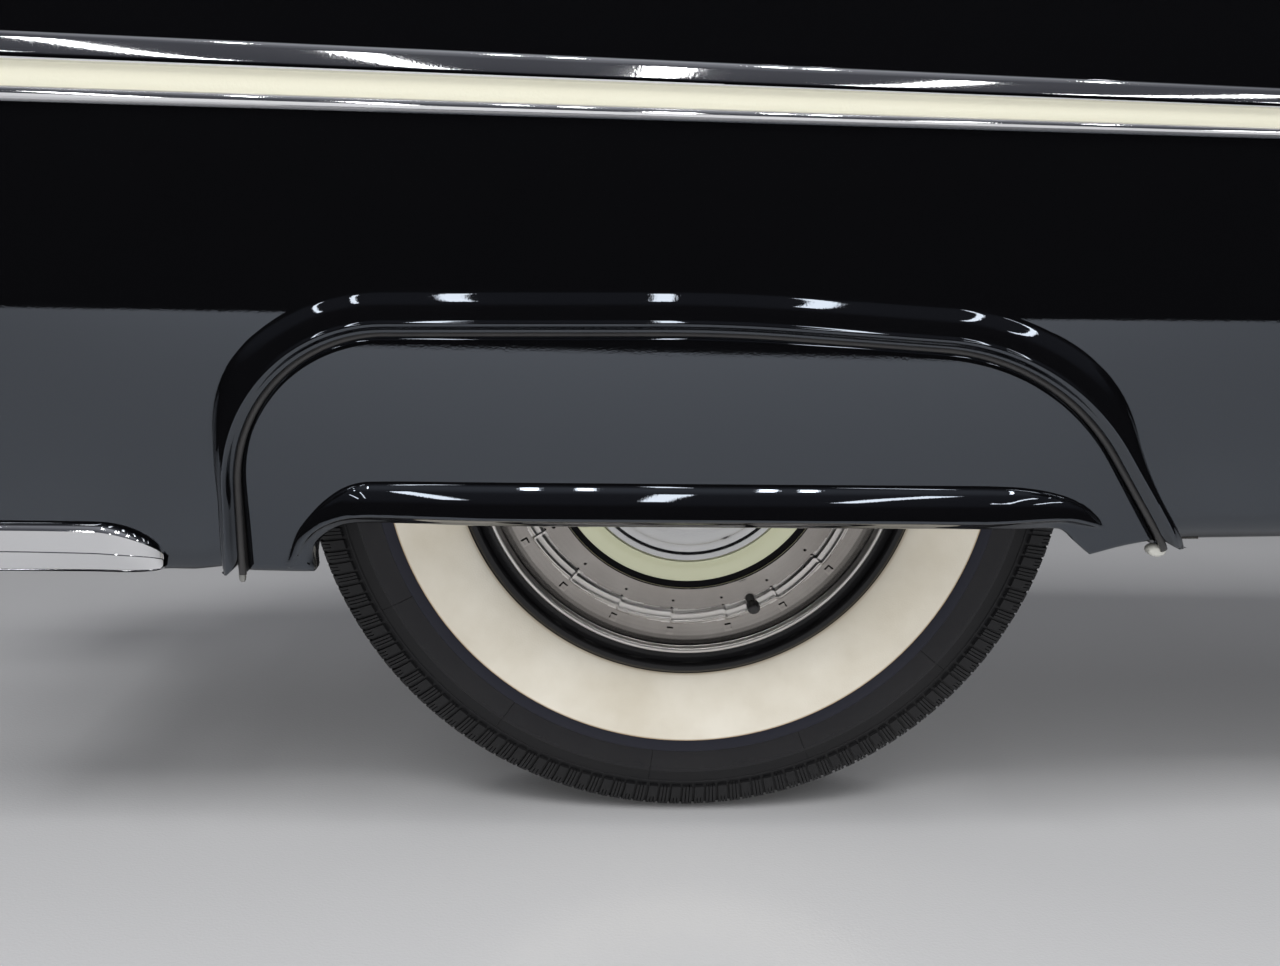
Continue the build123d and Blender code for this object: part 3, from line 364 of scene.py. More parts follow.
SHOULDER_SIDE = [(LUG_R, 0.0768), (0.3250, 0.0722), (0.3330, 0.0662), (0.3400, 0.0602), (0.3430, 0.0560),
                 (0.3440, 0.0500), (0.3440, 0.0480)]
TREAD_SIDE = [(0.3440, 0.0480), (0.3478, 0.0478), (TYRE_R, 0.0360), (0.3424, 0.0352), (0.3424, 0.0322),
              (TYRE_R, 0.0314), (TYRE_R, 0.0160), (0.3424, 0.0152), (0.3424, 0.0122), (TYRE_R, 0.0114),
              (TYRE_R, 0.0)]
BLACK_WALL = [(WHITE_INNER_R, 0.0690), (0.2300, 0.0800), (WHITE_OUTER_R, 0.0875)]


def mirrored(section):
    return [(r, -w) for r, w in reversed(section)]


# the inboard side is plain black, and the liner closes the section
liner = [(0.1910, -0.0480), (0.2150, -0.0560), (0.2700, -0.0770), (0.3150, -0.0660), (0.3350, -0.0440),
         (0.3350, 0.0440), (0.3150, 0.0660), (0.2700, 0.0770), (0.2150, 0.0560), (0.1910, 0.0480)]
carcass = (BEAD_SIDE + WHITE_SIDE + BAND_SIDE + GLOSS_SIDE + SCUFF_SIDE + SHOULDER_SIDE + TREAD_SIDE
           + mirrored(TREAD_SIDE)[1:] + mirrored(SHOULDER_SIDE) + mirrored(SCUFF_SIDE) + mirrored(GLOSS_SIDE)
           + mirrored(BAND_SIDE) + mirrored(BLACK_WALL) + mirrored(BEAD_SIDE) + liner)
tyre = turned("tyre", carcass, rubber_black, around=360, closed=True, sharp=28.0)
for extra in (whitewall, band_black, shoulder_gloss):
    tyre.data.materials.append(extra)
for face in tyre.data.polygons:
    if face.center.y < WHEEL_Y - OUTBOARD:
        r = math.hypot(face.center.x, face.center.z - AXLE_Z)
        face.material_index = (1 if WHITE_INNER_R < r < WHITE_OUTER_R else
                               2 if WHITE_OUTER_R < r < BAND_R else 3 if BAND_R < r < GLOSS_R else 0)
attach(tyre, "wheel")
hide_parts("tyre")


def round_repeat():
    """Geometry Nodes: copies of the input round the axle line, each turned a little at random."""
    tree = bpy.data.node_groups.new("repeat round the axle", "GeometryNodeTree")
    for label, kind, value in (("Unit", "NodeSocketGeometry", None), ("Count", "NodeSocketInt", 12),
                               ("Start", "NodeSocketFloat", 0.0), ("Play", "NodeSocketFloat", 0.0),
                               ("Seed", "NodeSocketInt", 3), ("Material", "NodeSocketMaterial", None)):
        socket = tree.interface.new_socket(label, in_out="INPUT", socket_type=kind)
        if value is not None:
            socket.default_value = value
    tree.interface.new_socket("Ring", in_out="OUTPUT", socket_type="NodeSocketGeometry")
    given, result = added(tree, "NodeGroupInput"), added(tree, "NodeGroupOutput")
    points = added(tree, "GeometryNodePoints", {"Position": (0.0, WHEEL_Y, AXLE_Z)})
    index = added(tree, "GeometryNodeInputIndex")
    step = added(tree, "ShaderNodeMath", {0: 2 * math.pi}, operation="DIVIDE")
    turn = added(tree, "ShaderNodeMath", operation="MULTIPLY_ADD")
    low = added(tree, "ShaderNodeMath", {1: -1.0}, operation="MULTIPLY")
    chance = added(tree, "FunctionNodeRandomValue", data_type="FLOAT")
    total = added(tree, "ShaderNodeMath", operation="ADD")
    spin = added(tree, "ShaderNodeCombineXYZ")
    copies = added(tree, "GeometryNodeInstanceOnPoints")
    real = added(tree, "GeometryNodeRealizeInstances")
    dress = added(tree, "GeometryNodeSetMaterial")
    wired(tree, [(given, "Count", points, "Count"), (given, "Count", step, 1), (index, "Index", turn, 0),
                 (step, "Value", turn, 1), (given, "Start", turn, 2), (given, "Play", low, 0),
                 (low, "Value", chance, "Min"), (given, "Play", chance, "Max"),
                 (given, "Seed", chance, "Seed"), (turn, "Value", total, 0),
                 (chance, "Value", total, 1), (total, "Value", spin, "Y"),
                 (points, "Geometry", copies, "Points"), (given, "Unit", copies, "Instance"),
                 (spin, "Vector", copies, "Rotation"), (copies, "Instances", real, "Geometry"),
                 (real, "Geometry", dress, "Geometry"), (given, "Material", dress, "Material"),
                 (dress, "Geometry", result, "Ring")])
    return tree


ROUND = round_repeat()


def ringed(unit, count, material, start=0.0, play=0.0, seed=3):
    """Turns a unit modelled about the axle into one plain mesh with all its copies."""
    repeat = unit.modifiers.new("repeat", "NODES")
    repeat.node_group = ROUND
    sockets = {item.name: item.identifier for item in ROUND.interface.items_tree if item.in_out == "INPUT"}
    for label, value in (("Count", count), ("Start", start), ("Play", play), ("Seed", seed),
                         ("Material", material)):
        repeat[sockets[label]] = value
    bpy.context.view_layer.update()
    graph = bpy.context.evaluated_depsgraph_get()
    whole = bpy.data.meshes.new_from_object(unit.evaluated_get(graph))
    unit.modifiers.clear()
    unit.data = whole
    unit.data.name = unit.name
    return unit


def lug_unit():
    """Two lugs of the shoulder, slit by sipes, as cells that stand on the carcass."""
    pitch = 2 * math.pi / LUG_COUNT
    # share of the pitch at which each strip of a lug starts, and where it stands: nowhere (0), at its
    # inner end (1), all along (2) or at its outer end (3)
    strips = [(0.000, 2), (0.105, 1), (0.140, 2), (0.245, 1), (0.280, 2), (0.385, 0), (0.490, 2), (0.600, 3),
              (0.635, 2), (0.745, 3), (0.780, 2), (0.890, 0)]
    ends = [start for start, _ in strips[1:]] + [1.0]
    rows = SHOULDER_SIDE[:-1]
    outward = []
    for i in range(len(rows)):
        (r0, w0), (r1, w1) = rows[max(i - 1, 0)], rows[min(i + 1, len(rows) - 1)]
        run = math.hypot(r1 - r0, w1 - w0)
        outward.append(((w0 - w1) / run, (r1 - r0) / run))
    verts, faces = [], []

    def spot(row, share, raised):
        lift = LUG_HIGH if raised else GROOVE_LOW
        r, w = rows[row][0] + outward[row][0] * lift, rows[row][1] + outward[row][1] * lift
        a = share * pitch
        verts.append((r * math.cos(a), -w, r * math.sin(a)))
        return len(verts) - 1

    def side(*corners):
        faces.append([spot(*corner) for corner in corners][::-1])

    def stands(row, kind):
        return kind == 2 or (kind == 1 and row < 2) or (kind == 3 and row > 2)

    for j, (left, kind) in enumerate(strips):
        right, before, after = ends[j], strips[j - 1][1], strips[(j + 1) % len(strips)][1]
        for i in range(len(rows) - 1):
            if not stands(i, kind):
                continue
            k = i + 1
            side((i, left, 1), (i, right, 1), (k, right, 1), (k, left, 1))
            if not stands(i, before):
                side((i, left, 0), (i, left, 1), (k, left, 1), (k, left, 0))
            if not stands(i, after):
                side((i, right, 1), (i, right, 0), (k, right, 0), (k, right, 1))
            if i == 0 or not stands(i - 1, kind):
                side((i, left, 1), (i, left, 0), (i, right, 0), (i, right, 1))
            if i == len(rows) - 2 or not stands(k, kind):
                side((k, left, 0), (k, left, 1), (k, right, 1), (k, right, 0))
    return mesh_object("tyre_lugs", verts, faces, rubber_black, 20.0)


lugs = ringed(lug_unit(), LUG_COUNT, rubber_black, play=0.0006)
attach(lugs, "wheel")


def vent_unit():
    """The fine rib that a vent groove of the mould leaves across the shoulder."""
    rib = [(0.0006, -0.0002), (0.0002, 0.0004), (-0.0002, 0.0004), (-0.0006, -0.0002)]
    crossed = GLOSS_SIDE + SCUFF_SIDE[1:4]
    grid = np.array([[(r, -(w + lift), aside) for aside, lift in rib] for r, w in crossed])
    return sheet("tyre_vents", grid, rubber_black, 50.0)


vents = ringed(vent_unit(), VENT_COUNT, rubber_black, start=VENT_START)
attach(vents, "wheel")


# Wheel cover
# Stainless sheet pressed into a dish and snapped inside the rim. A ring of pressed steps runs round
# it, each with a dimple inside and a small square outside. The steps and the rolled edge carry a
# painted highlight: a brighter copy of the stainless that stands in for the glints of ceiling lights.
# The middle is painted black round the ring of enamel.
stainless = varied("stainless", (0.46, 0.435, 0.405), (0.12, 0.24), dust=(0.17, 0.145, 0.125), dusty=0.7,
                   scale=15.0, metallic=1.0, relief=0.000006)
# painted highlight: a brighter copy of the stainless, laid on the steps and the rolled edge
stainless_painted_highlight = varied("stainless painted highlight", (0.86, 0.83, 0.79), (0.24, 0.36), dust=(0.5, 0.46, 0.42), dusty=0.5,
                     scale=40.0, metallic=1.0, relief=0.000006)
COVER_R = 0.192
STEP_COUNT, STEP_START, STEP_SHIFT = 20, math.radians(5.0), 0.0012
BLACK_LINE_R, BRIGHT_EDGE_R = 0.1288, 0.1846
STEPS_IN_R, STEPS_OUT_R = 0.1500, 0.1630
STEP_TURN = 0.035            # angle beside a step that holds its fine forms
STEP_EDGE_TURN = 0.011       # half the angle over which one step passes to the next radius
RIB_R = (0.1490, 0.1505, 0.1620, 0.1640)     # start and full height of the rib, and the same outside
SHIFT_R = (0.1450, 0.1500, 0.1630, 0.1680)   # the same of the band that steps in and out
DIMPLE_R, DIMPLE_WIDE, DIMPLE_DEEP = 0.1410, 0.0014, 0.0007
SQUARE_R, RELIEF_HIGH = 0.1710, 0.0006
EDGE_ROLL = 0.0034
# (radius, outboard) corners in from the rolled edge over the dish, the steps and the raised shoulder
# to the seat of the painted ring
COVER_FRONT = (
    [(COVER_R, 0.0668)] + arc((COVER_R - EDGE_ROLL, 0.0704), EDGE_ROLL, 75, -75, 14)
    + [(BRIGHT_EDGE_R, 0.0706), (0.1830, 0.0702), (0.1790, 0.0696), (0.1750, 0.0692), (0.1710, 0.0692),
       (0.1670, 0.0696), (0.1640, 0.0702), (0.1624, 0.0708), (0.1616, 0.0716), (0.1609, 0.0722),
       (0.1602, 0.0723), (0.1595, 0.0719), (0.1588, 0.0714), (0.1570, 0.0713), (0.1548, 0.0714),
       (0.1538, 0.0717), (0.1532, 0.0715), (0.1525, 0.0707), (0.1515, 0.0702), (0.1490, 0.0701),
       (0.1450, 0.0702), (0.1410, 0.0705), (0.1370, 0.0710), (0.1340, 0.0716), (0.1318, 0.0723),
       (0.1308, 0.0728), (0.1300, 0.0728), (0.1292, 0.0720), (0.1286, 0.0690), (0.1240, 0.0672),
       (0.1050, 0.0640), (0.0900, 0.0640)])
COVER_BACK = [(0.0900, 0.0628), (0.1050, 0.0628), (0.1262, 0.0652), (0.1300, 0.0660), (0.1440, 0.0685),
              (0.1590, 0.0705), (0.1720, 0.0684), (0.1835, 0.0690), (0.1885, 0.0682)]


def smooth_step(low, high, value):
    share = np.clip((value - low) / (high - low), 0.0, 1.0)
    return share * share * (3 - 2 * share)


def within(band, r):
    """1 between the middle two of four radii, faded out to 0 at the outer two."""
    return smooth_step(band[0], band[1], r) * smooth_step(band[3], band[2], r)


def cover_relief(r, aside):
    """The rib at a step, the dimple inside it and the small square outside it."""
    rib = RELIEF_HIGH * np.exp(-(aside / 0.0009) ** 2) * within(RIB_R, r)
    dimple = DIMPLE_DEEP * np.exp(-((r - DIMPLE_R) ** 2 + aside ** 2) / DIMPLE_WIDE ** 2)
    square = RELIEF_HIGH * smooth_step(0.0034, 0.0024, np.maximum(np.abs(r - SQUARE_R), np.abs(aside)))
    return rib - dimple + square


def cover_sector():
    """One step of the pressed ring with its share of the cover, as a closed section."""
    half = math.pi / STEP_COUNT
    turns = np.concatenate([np.linspace(-half, -STEP_TURN, 7)[:-1], np.linspace(-STEP_TURN, STEP_TURN, 25),
                            np.linspace(STEP_TURN, half, 7)[1:]])
    front = np.array(COVER_FRONT)
    walked = np.concatenate([[0], np.cumsum(np.hypot(*np.diff(front, axis=0).T))])
    spots = np.concatenate([np.linspace(0, walked[-4], 104), walked[-3:]])
    front = np.stack([np.interp(spots, walked, front[:, 0]), np.interp(spots, walked, front[:, 1])], 1)
    flat = np.concatenate([front, COVER_BACK])[None]
    a = turns[:, None] + 0 * flat[..., 0]
    # half of the step lies outside its middle line and half inside, and it fades out to both sides
    side = np.interp(turns, [-STEP_EDGE_TURN, STEP_EDGE_TURN], [-1, 1])
    shift = side * (1 - np.abs(turns) / half) * STEP_SHIFT
    r = flat[..., 0] + shift[:, None] * within(SHIFT_R, flat[..., 0])
    shown = np.arange(flat.shape[1]) < len(front)
    w = flat[..., 1] + np.where(shown, cover_relief(flat[..., 0], a * flat[..., 0]), 0.0)
    grid = np.stack([r * np.cos(a), -w, r * np.sin(a)], -1)[:, ::-1]
    return sheet("wheel_cover", grid, stainless, 50.0, wrap_columns=True)


cover = ringed(cover_sector(), STEP_COUNT, stainless, start=STEP_START)
weld(cover.data, 2e-6)
cover.data.set_sharp_from_angle(angle=math.radians(50.0))
for extra in (wheel_black, stainless_painted_highlight):
    cover.data.materials.append(extra)
for face in cover.data.polygons:
    r = math.hypot(face.center.x, face.center.z - AXLE_Z)
    # faces on the steps and the rolled edge take the painted highlight
    painted_bright = r > BRIGHT_EDGE_R or STEPS_IN_R < r < STEPS_OUT_R
    face.material_index = 1 if r < BLACK_LINE_R else 2 if painted_bright else 0
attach(cover, "wheel")
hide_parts("wheel_cover")


# Painted ring and bright centre
# A flat ring enamelled pale yellow, and inside it a chromed centre of stepped rings and a dome. Both
# are pressed into the cover from the front.
ring_enamel = varied("ring enamel", (0.56, 0.57, 0.40), (0.12, 0.2), dust=(0.5, 0.48, 0.35), dusty=0.15,
                     coat=0.6, relief=0.00003)
ring = turned("cover_ring", [(0.1052, 0.0645), (0.1060, 0.0682), (0.1150, 0.0698), (0.1236, 0.0684),
                             (0.1243, 0.0668)], ring_enamel)
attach(ring, "wheel")
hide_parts("cover_ring")

CENTRE_SECTION = (
    [(0.1045, 0.0645)] + arc((0.1022, 0.0690), 0.0023, 90, 10, 6)
    + [(0.1000, 0.0714), (0.0985, 0.0716), (0.0974, 0.0713), (0.0964, 0.0709), (0.0952, 0.0709),
       (0.0925, 0.0716), (0.0890, 0.0728), (0.0878, 0.0744), (0.0840, 0.0755), (0.0790, 0.0762),
       (0.0745, 0.0760), (0.0700, 0.0765)]
    + arc((0.0, 0.0370), 0.0800, 60, 35, 8) + arc((0.0, 0.0130), 0.0860, 30, 0, 12)
)
worn_chrome = varied("worn chrome", (0.62, 0.62, 0.62), (0.12, 0.24), dust=(0.5, 0.5, 0.48), dusty=0.4,
                     scale=30.0, metallic=1.0, relief=0.00005)
centre = turned("cover_centre", CENTRE_SECTION[::-1], worn_chrome)
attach(centre, "wheel")
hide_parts("cover_centre")


# Valve
# A rubber snap-in valve that comes up through the rim and leans out of the cover's dish, with a
# ribbed black cap screwed on its end.
VALVE_TURN = math.radians(-67.45)
# radius from the axle, outboard place and thickness along the stem and over the cap
VALVE_LINE = [(0.1760, 0.0180, 0.0040), (0.1740, 0.0400, 0.0040), (0.1580, 0.0580, 0.0040),
              (0.1490, 0.0660, 0.0040), (0.1520, 0.0740, 0.0038), (0.1548, 0.0772, 0.0038)]
# share of the cap's length, and its radius there
VALVE_CAP = [(0.00, 0.0040), (0.02, 0.0056), (0.10, 0.0058), (0.80, 0.0056), (0.92, 0.0050), (1.00, 0.0034),
             (1.00, 0.0001)]
CAP_FOOT, CAP_TOP = np.array((0.1548, 0.0772)), np.array((0.1585, 0.0850))


def round_bar(name, line, material, ribs=0, around=36):
    """A bar swept along (radius, outboard, thickness) points in the plane of the valve, or a ribbed
    straight one."""
    along = np.gradient(line[:, :2], axis=0)
    along /= np.maximum(np.linalg.norm(along, axis=1), 1e-9)[:, None]
    if ribs:
        along[:] = along[0]
    turns = -np.linspace(0, 2 * math.pi, around, endpoint=False)
    thick = line[:, 2:] * (1 + (0.03 * np.cos(ribs * turns)[None] if ribs else 0.0))
    r = line[:, :1] - along[:, 1:] * thick * np.cos(turns)[None]
    w = line[:, 1:2] + along[:, :1] * thick * np.cos(turns)[None]
    aside = thick * np.sin(turns)[None]
    c, t = math.cos(VALVE_TURN), math.sin(VALVE_TURN)
    grid = np.stack([r * c - aside * t, WHEEL_Y - w, AXLE_Z + r * t + aside * c], -1)
    foot, top = tuple(range(around)), tuple(range((len(line) - 1) * around, len(line) * around))
    faces = grid_faces(len(line), around, False, True) + [foot[::-1], top]
    return mesh_object(name, grid.reshape(-1, 3), faces, material)


steps = np.linspace(0, len(VALVE_LINE) - 1, 26)
stem_rows = np.stack([np.interp(steps, range(len(VALVE_LINE)), column) for column in zip(*VALVE_LINE)], 1)
cap_rows = np.array([(*(CAP_FOOT + share * (CAP_TOP - CAP_FOOT)), radius) for share, radius in VALVE_CAP])
cap_black = varied("cap black", (0.005, 0.005, 0.006), (0.22, 0.34), dusty=0.05, scale=90.0, relief=0.00002)
valve = round_bar("valve_stem", stem_rows, moulded_rubber)
cap = round_bar("valve_cap", cap_rows, cap_black, ribs=12, around=96)
for part in (valve, cap):
    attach(part, "wheel")
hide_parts("valve_stem")


# Outer panel
# One deep pressing of body steel, sprayed gloss black. Its side bows out a little, tucks in below and
# rolls under at the sill, and round the wheel opening it rolls out into a rounded flare that ends in
# a turned hem.

# x, bottom height and reach, side, shoulder and belt height and reach: heights stand over the axle
# and reaches outboard of the rim's flange
BODY_SECTIONS = np.array([
    (-0.640, -0.090, 0.078, 0.230, 0.126, 0.480, 0.112, 0.560, 0.062),
    (-0.380, -0.090, 0.078, 0.230, 0.126, 0.480, 0.112, 0.560, 0.062),
    (0.420, -0.066, 0.080, 0.230, 0.126, 0.476, 0.112, 0.552, 0.062),
    (0.800, -0.058, 0.074, 0.225, 0.118, 0.466, 0.104, 0.538, 0.058),
    (1.150, -0.016, 0.044, 0.210, 0.086, 0.440, 0.074, 0.500, 0.050),
])
# side view corners of the opening's seal line and the radius at each
OPENING = [(-0.368, -0.130, 0), (-0.370, 0.107, 0.122), (0.020, 0.111, 1.500), (0.286, 0.094, 0.185),
           (0.4296, -0.130, 0)]
SEAL_HALF = 0.0015
# the flare's section: distance outside the seal's middle line, and reach. It rises from the hem to
# a lip, dips in a shallow cove and rounds over to the body
FLARE_SECTION = [(0.0000, 0.1172), (0.0015, 0.1188), (0.0035, 0.1216), (0.0052, 0.1243), (0.0066, 0.1263),
                 (0.0076, 0.1274), (0.0085, 0.1278), (0.0094, 0.1275), (0.0106, 0.1268), (0.0122, 0.1263),
                 (0.0145, 0.1261), (0.0175, 0.1259), (0.0210, 0.1251), (0.0245, 0.1237), (0.0280, 0.1214),
                 (0.0310, 0.1185), (0.0335, 0.1145), (0.0355, 0.1090), (0.0375, 0.0990), (0.0405, 0.0780)]
FLARE_LIP = 0.009            # past this the section narrows down the legs
FLARE_NARROW = 0.26          # to this share of its width
FLARE_LEGS = (-0.030, 0.110)     # heights between which it narrows
FLARE_SPAN = 0.060           # band along the seal that the finer part of the grid covers
FLARE_FALL = 4.0             # how steeply it ends behind the body
FILLET, LOW_FILLET = 0.010, 0.016    # radius where the flare meets the body, and what it gains low down
SILL_FRONT, SILL_REAR = (-0.300, -0.088), (0.300, -0.065)   # x and height of the panel's lower edge
SILL_DROP = 0.006            # how much lower that edge lies ahead of the opening
SILL_ROLL, SILL_TUCK, FRONT_TUCK = 0.030, 0.028, 0.010
CORNER_R = 0.019
# reaches of the rows that turn in round the opening, along the outer edges and under the sill
LIP_REACHES, EDGE_REACHES, FLANGE_REACHES = (0.066, 0.100), (0.110, 0.035), (0.035, 0.055)
SKIN = 0.0016
PANEL_COLUMNS = 340
# length along the seal over which the grid's lines bend at each foot, and the way they then run
FRONT_BEND, FRONT_WAY = 0.060, (-1.0, -0.120)
REAR_BEND, REAR_WAY = 0.160, (1.0, 0.030)

body_black = varied("body black", (0.0025, 0.0025, 0.003), (0.008, 0.02), dust=(0.03, 0.03, 0.03),
                    dusty=0.02, grain=600.0, relief=0.000006, ior=1.9)
clear_coat = body_black.node_tree.nodes["Principled BSDF"]
clear_coat.inputs["Specular Tint"].default_value = (0.80, 0.88, 1.0, 1.0)


def along_body(x, column):
    """A section value at any x, eased from station to station without overshoot."""
    xs, ys = BODY_SECTIONS[:, 0], BODY_SECTIONS[:, column]
    rise = np.diff(ys) / np.diff(xs)
    level = rise[:-1] * rise[1:] <= 0
    slope = np.concatenate([[0.0], np.where(level, 0.0, (rise[:-1] + rise[1:]) / 2), rise[-1:]])
    i = np.clip(np.searchsorted(xs, x) - 1, 0, len(xs) - 2)
    span = xs[i + 1] - xs[i]
    t = np.clip((x - xs[i]) / span, 0.0, 1.0)
    return ((2 * t ** 3 - 3 * t ** 2 + 1) * ys[i] + (t ** 3 - 2 * t ** 2 + t) * span * slope[i]
            + (3 * t ** 2 - 2 * t ** 3) * ys[i + 1] + (t ** 3 - t ** 2) * span * slope[i + 1])


def body_surface(x, girth):
    """Height and reach of the plain side at x, where girth runs on round the belt like a height."""
    low_h, low_d, side_h, side_d, top_h, top_d, belt_h, belt_d = (along_body(x, c) for c in range(1, 9))
    r_low = ((side_h - low_h) ** 2 + (side_d - low_d) ** 2) / (2 * (side_d - low_d))
    r_up = ((top_h - side_h) ** 2 + (side_d - top_d) ** 2) / (2 * (side_d - top_d))
    h = np.minimum(girth, top_h)
    lower = side_d - r_low + np.sqrt(np.maximum(r_low ** 2 - (side_h - h) ** 2, 0))
    upper = side_d - r_up + np.sqrt(np.maximum(r_up ** 2 - (h - side_h) ** 2, 0))
    reach = np.where(h < side_h, lower, upper)
    lean = np.arcsin((top_h - side_h) / r_up)
    chord = np.hypot(belt_h - top_h, top_d - belt_d)
    half_turn = np.arctan2(top_d - belt_d, belt_h - top_h) - lean
    r_belt = chord / 2 / np.sin(half_turn)
    turn = np.clip((girth - top_h) / r_belt, 0.0, 2 * half_turn)
    height = h + r_belt * (np.sin(lean + turn) - np.sin(lean)) * (girth > top_h)
    reach = reach - r_belt * (np.cos(lean) - np.cos(lean + turn)) * (girth > top_h)
    return height, reach, top_h + 2 * half_turn * r_belt


def sill_height(x):
    """Height of the panel's lower edge, which drops a little ahead of the opening."""
    foot = np.maximum(np.interp(x, *zip(SILL_FRONT, SILL_REAR)), along_body(x, 1) + 0.001)
    return foot - SILL_DROP * smooth_step(-0.378, -0.410, x)


def sill_roll(x, height):
    """How far in the body and the flare's feet roll under over the sill's last few centimetres."""
    under = np.clip((sill_height(x) + SILL_ROLL - height) / (SILL_ROLL + 0.002), 0.0, 0.995)
    tuck = SILL_TUCK + (FRONT_TUCK - SILL_TUCK) * smooth_step(-0.100, -0.360, x)
    return tuck * (1 - np.sqrt(1 - under ** 2))


def rounded_path(corners, step=0.003):
    """Dense points along straight runs joined by tangent arcs, from (x, height, radius) corners."""
    points = []
    for i, (x, h, r) in enumerate(corners):
        spot = np.array([x, h])
        if r == 0:
            points.append([spot])
            continue
        back = np.array(corners[i - 1][:2]) - spot
        ahead = np.array(corners[i + 1][:2]) - spot
        back, ahead = back / np.linalg.norm(back), ahead / np.linalg.norm(ahead)
        half = math.acos(np.clip(back @ ahead, -1, 1)) / 2
        hub = spot + (back + ahead) / np.linalg.norm(back + ahead) * r / math.sin(half)
        first = spot + back * r / math.tan(half) - hub
        last = spot + ahead * r / math.tan(half) - hub
        turn = math.atan2(first[0] * last[1] - first[1] * last[0], first @ last)
        count = max(3, int(abs(turn) * r / step))
        start = math.atan2(first[1], first[0])
        turns = [start + turn * k / count for k in range(count + 1)]
        points.append([hub + r * np.array([math.cos(a), math.sin(a)]) for a in turns])
    return np.array([p for run in points for p in run])


def evenly(points, count):
    """The same path with evenly spaced points, and how far along it each one lies."""
    gaps = np.concatenate([[0], np.cumsum(np.linalg.norm(np.diff(points, axis=0), axis=1))])
    spots = np.linspace(0, gaps[-1], count)
    return np.stack([np.interp(spots, gaps, points[:, k]) for k in range(points.shape[1])], 1), spots


def smooth_path(table, count):
    """Evenly spaced points on a smooth curve through the rows of a table, all its columns eased alike."""
    rows = np.array(table)
    rows = np.concatenate([[2 * rows[0] - rows[1]], rows, [2 * rows[-1] - rows[-2]]])
    t = np.linspace(0, 1, 24, endpoint=False)[:, None]
    runs = []
    for a, b, c, d in zip(rows, rows[1:], rows[2:], rows[3:]):
        runs.append(b + 0.5 * t * (c - a + t * (2 * a - 5 * b + 4 * c - d + t * (3 * (b - c) + d - a))))
    return evenly(np.concatenate(runs + [rows[-2:-1]]), count)[0]


def opening_line(count):
    """The seal's middle line from the front sill over the wheel to the rear sill, with outward normals."""
    line, _ = evenly(rounded_path(OPENING), 4000)
    line = line[line[:, 1] > sill_height(line[:, 0])]
    line, walked = evenly(line, count)
    along = np.gradient(line, axis=0)
    normal = np.stack([-along[:, 1], along[:, 0]], 1)
    return line, normal / np.linalg.norm(normal, axis=1)[:, None], walked


def nearest_on(path, x, h):
    """Distance to a path of (x, height, value) rows, more than 0 on its left, and the value there."""
    spots = np.stack([x.ravel(), h.ravel()], 1)
    best, value, side = np.full(len(spots), 9.0), np.zeros(len(spots)), np.ones(len(spots))
    for a, b in zip(path[:-1], path[1:]):
        run = b[:2] - a[:2]
        share = np.clip(((spots - a[:2]) @ run) / (run @ run), 0, 1)
        away = spots - a[:2] - share[:, None] * run
        gap = np.hypot(*away.T)
        near = gap < best
        left = run[0] * away[:, 1] - run[1] * away[:, 0]
        best, value = np.where(near, gap, best), np.where(near, a[-1] + share * (b[-1] - a[-1]), value)
        side = np.where(near, np.where(left < 0, -1.0, 1.0), side)
    return (best * side).reshape(x.shape), value.reshape(x.shape)


def flare_reach(gap, h):
    """Reach of the rolled flare at a distance outside the seal's middle line, narrower low down."""
    section = smooth_path(FLARE_SECTION, 400)
    wide = FLARE_NARROW + (1 - FLARE_NARROW) * smooth_step(*FLARE_LEGS, h)
    gap = np.where(gap > FLARE_LIP, FLARE_LIP + (gap - FLARE_LIP) / wide, gap)
    return np.interp(gap, section[:, 0], section[:, 1]) - FLARE_FALL * np.maximum(gap - section[-1, 0], 0)


def blend_high(a, b, radius):
    """The higher of two surfaces, with a fillet where they meet."""
    near = np.maximum(radius - np.abs(a - b), 0) / radius
    return np.maximum(a, b) + near * near * radius / 4


def to_row(x, h, reach):
    """Side view place and reach as points in the row frame."""
    return np.stack([x, FLANGE_Y - reach, AXLE_Z + h], -1)


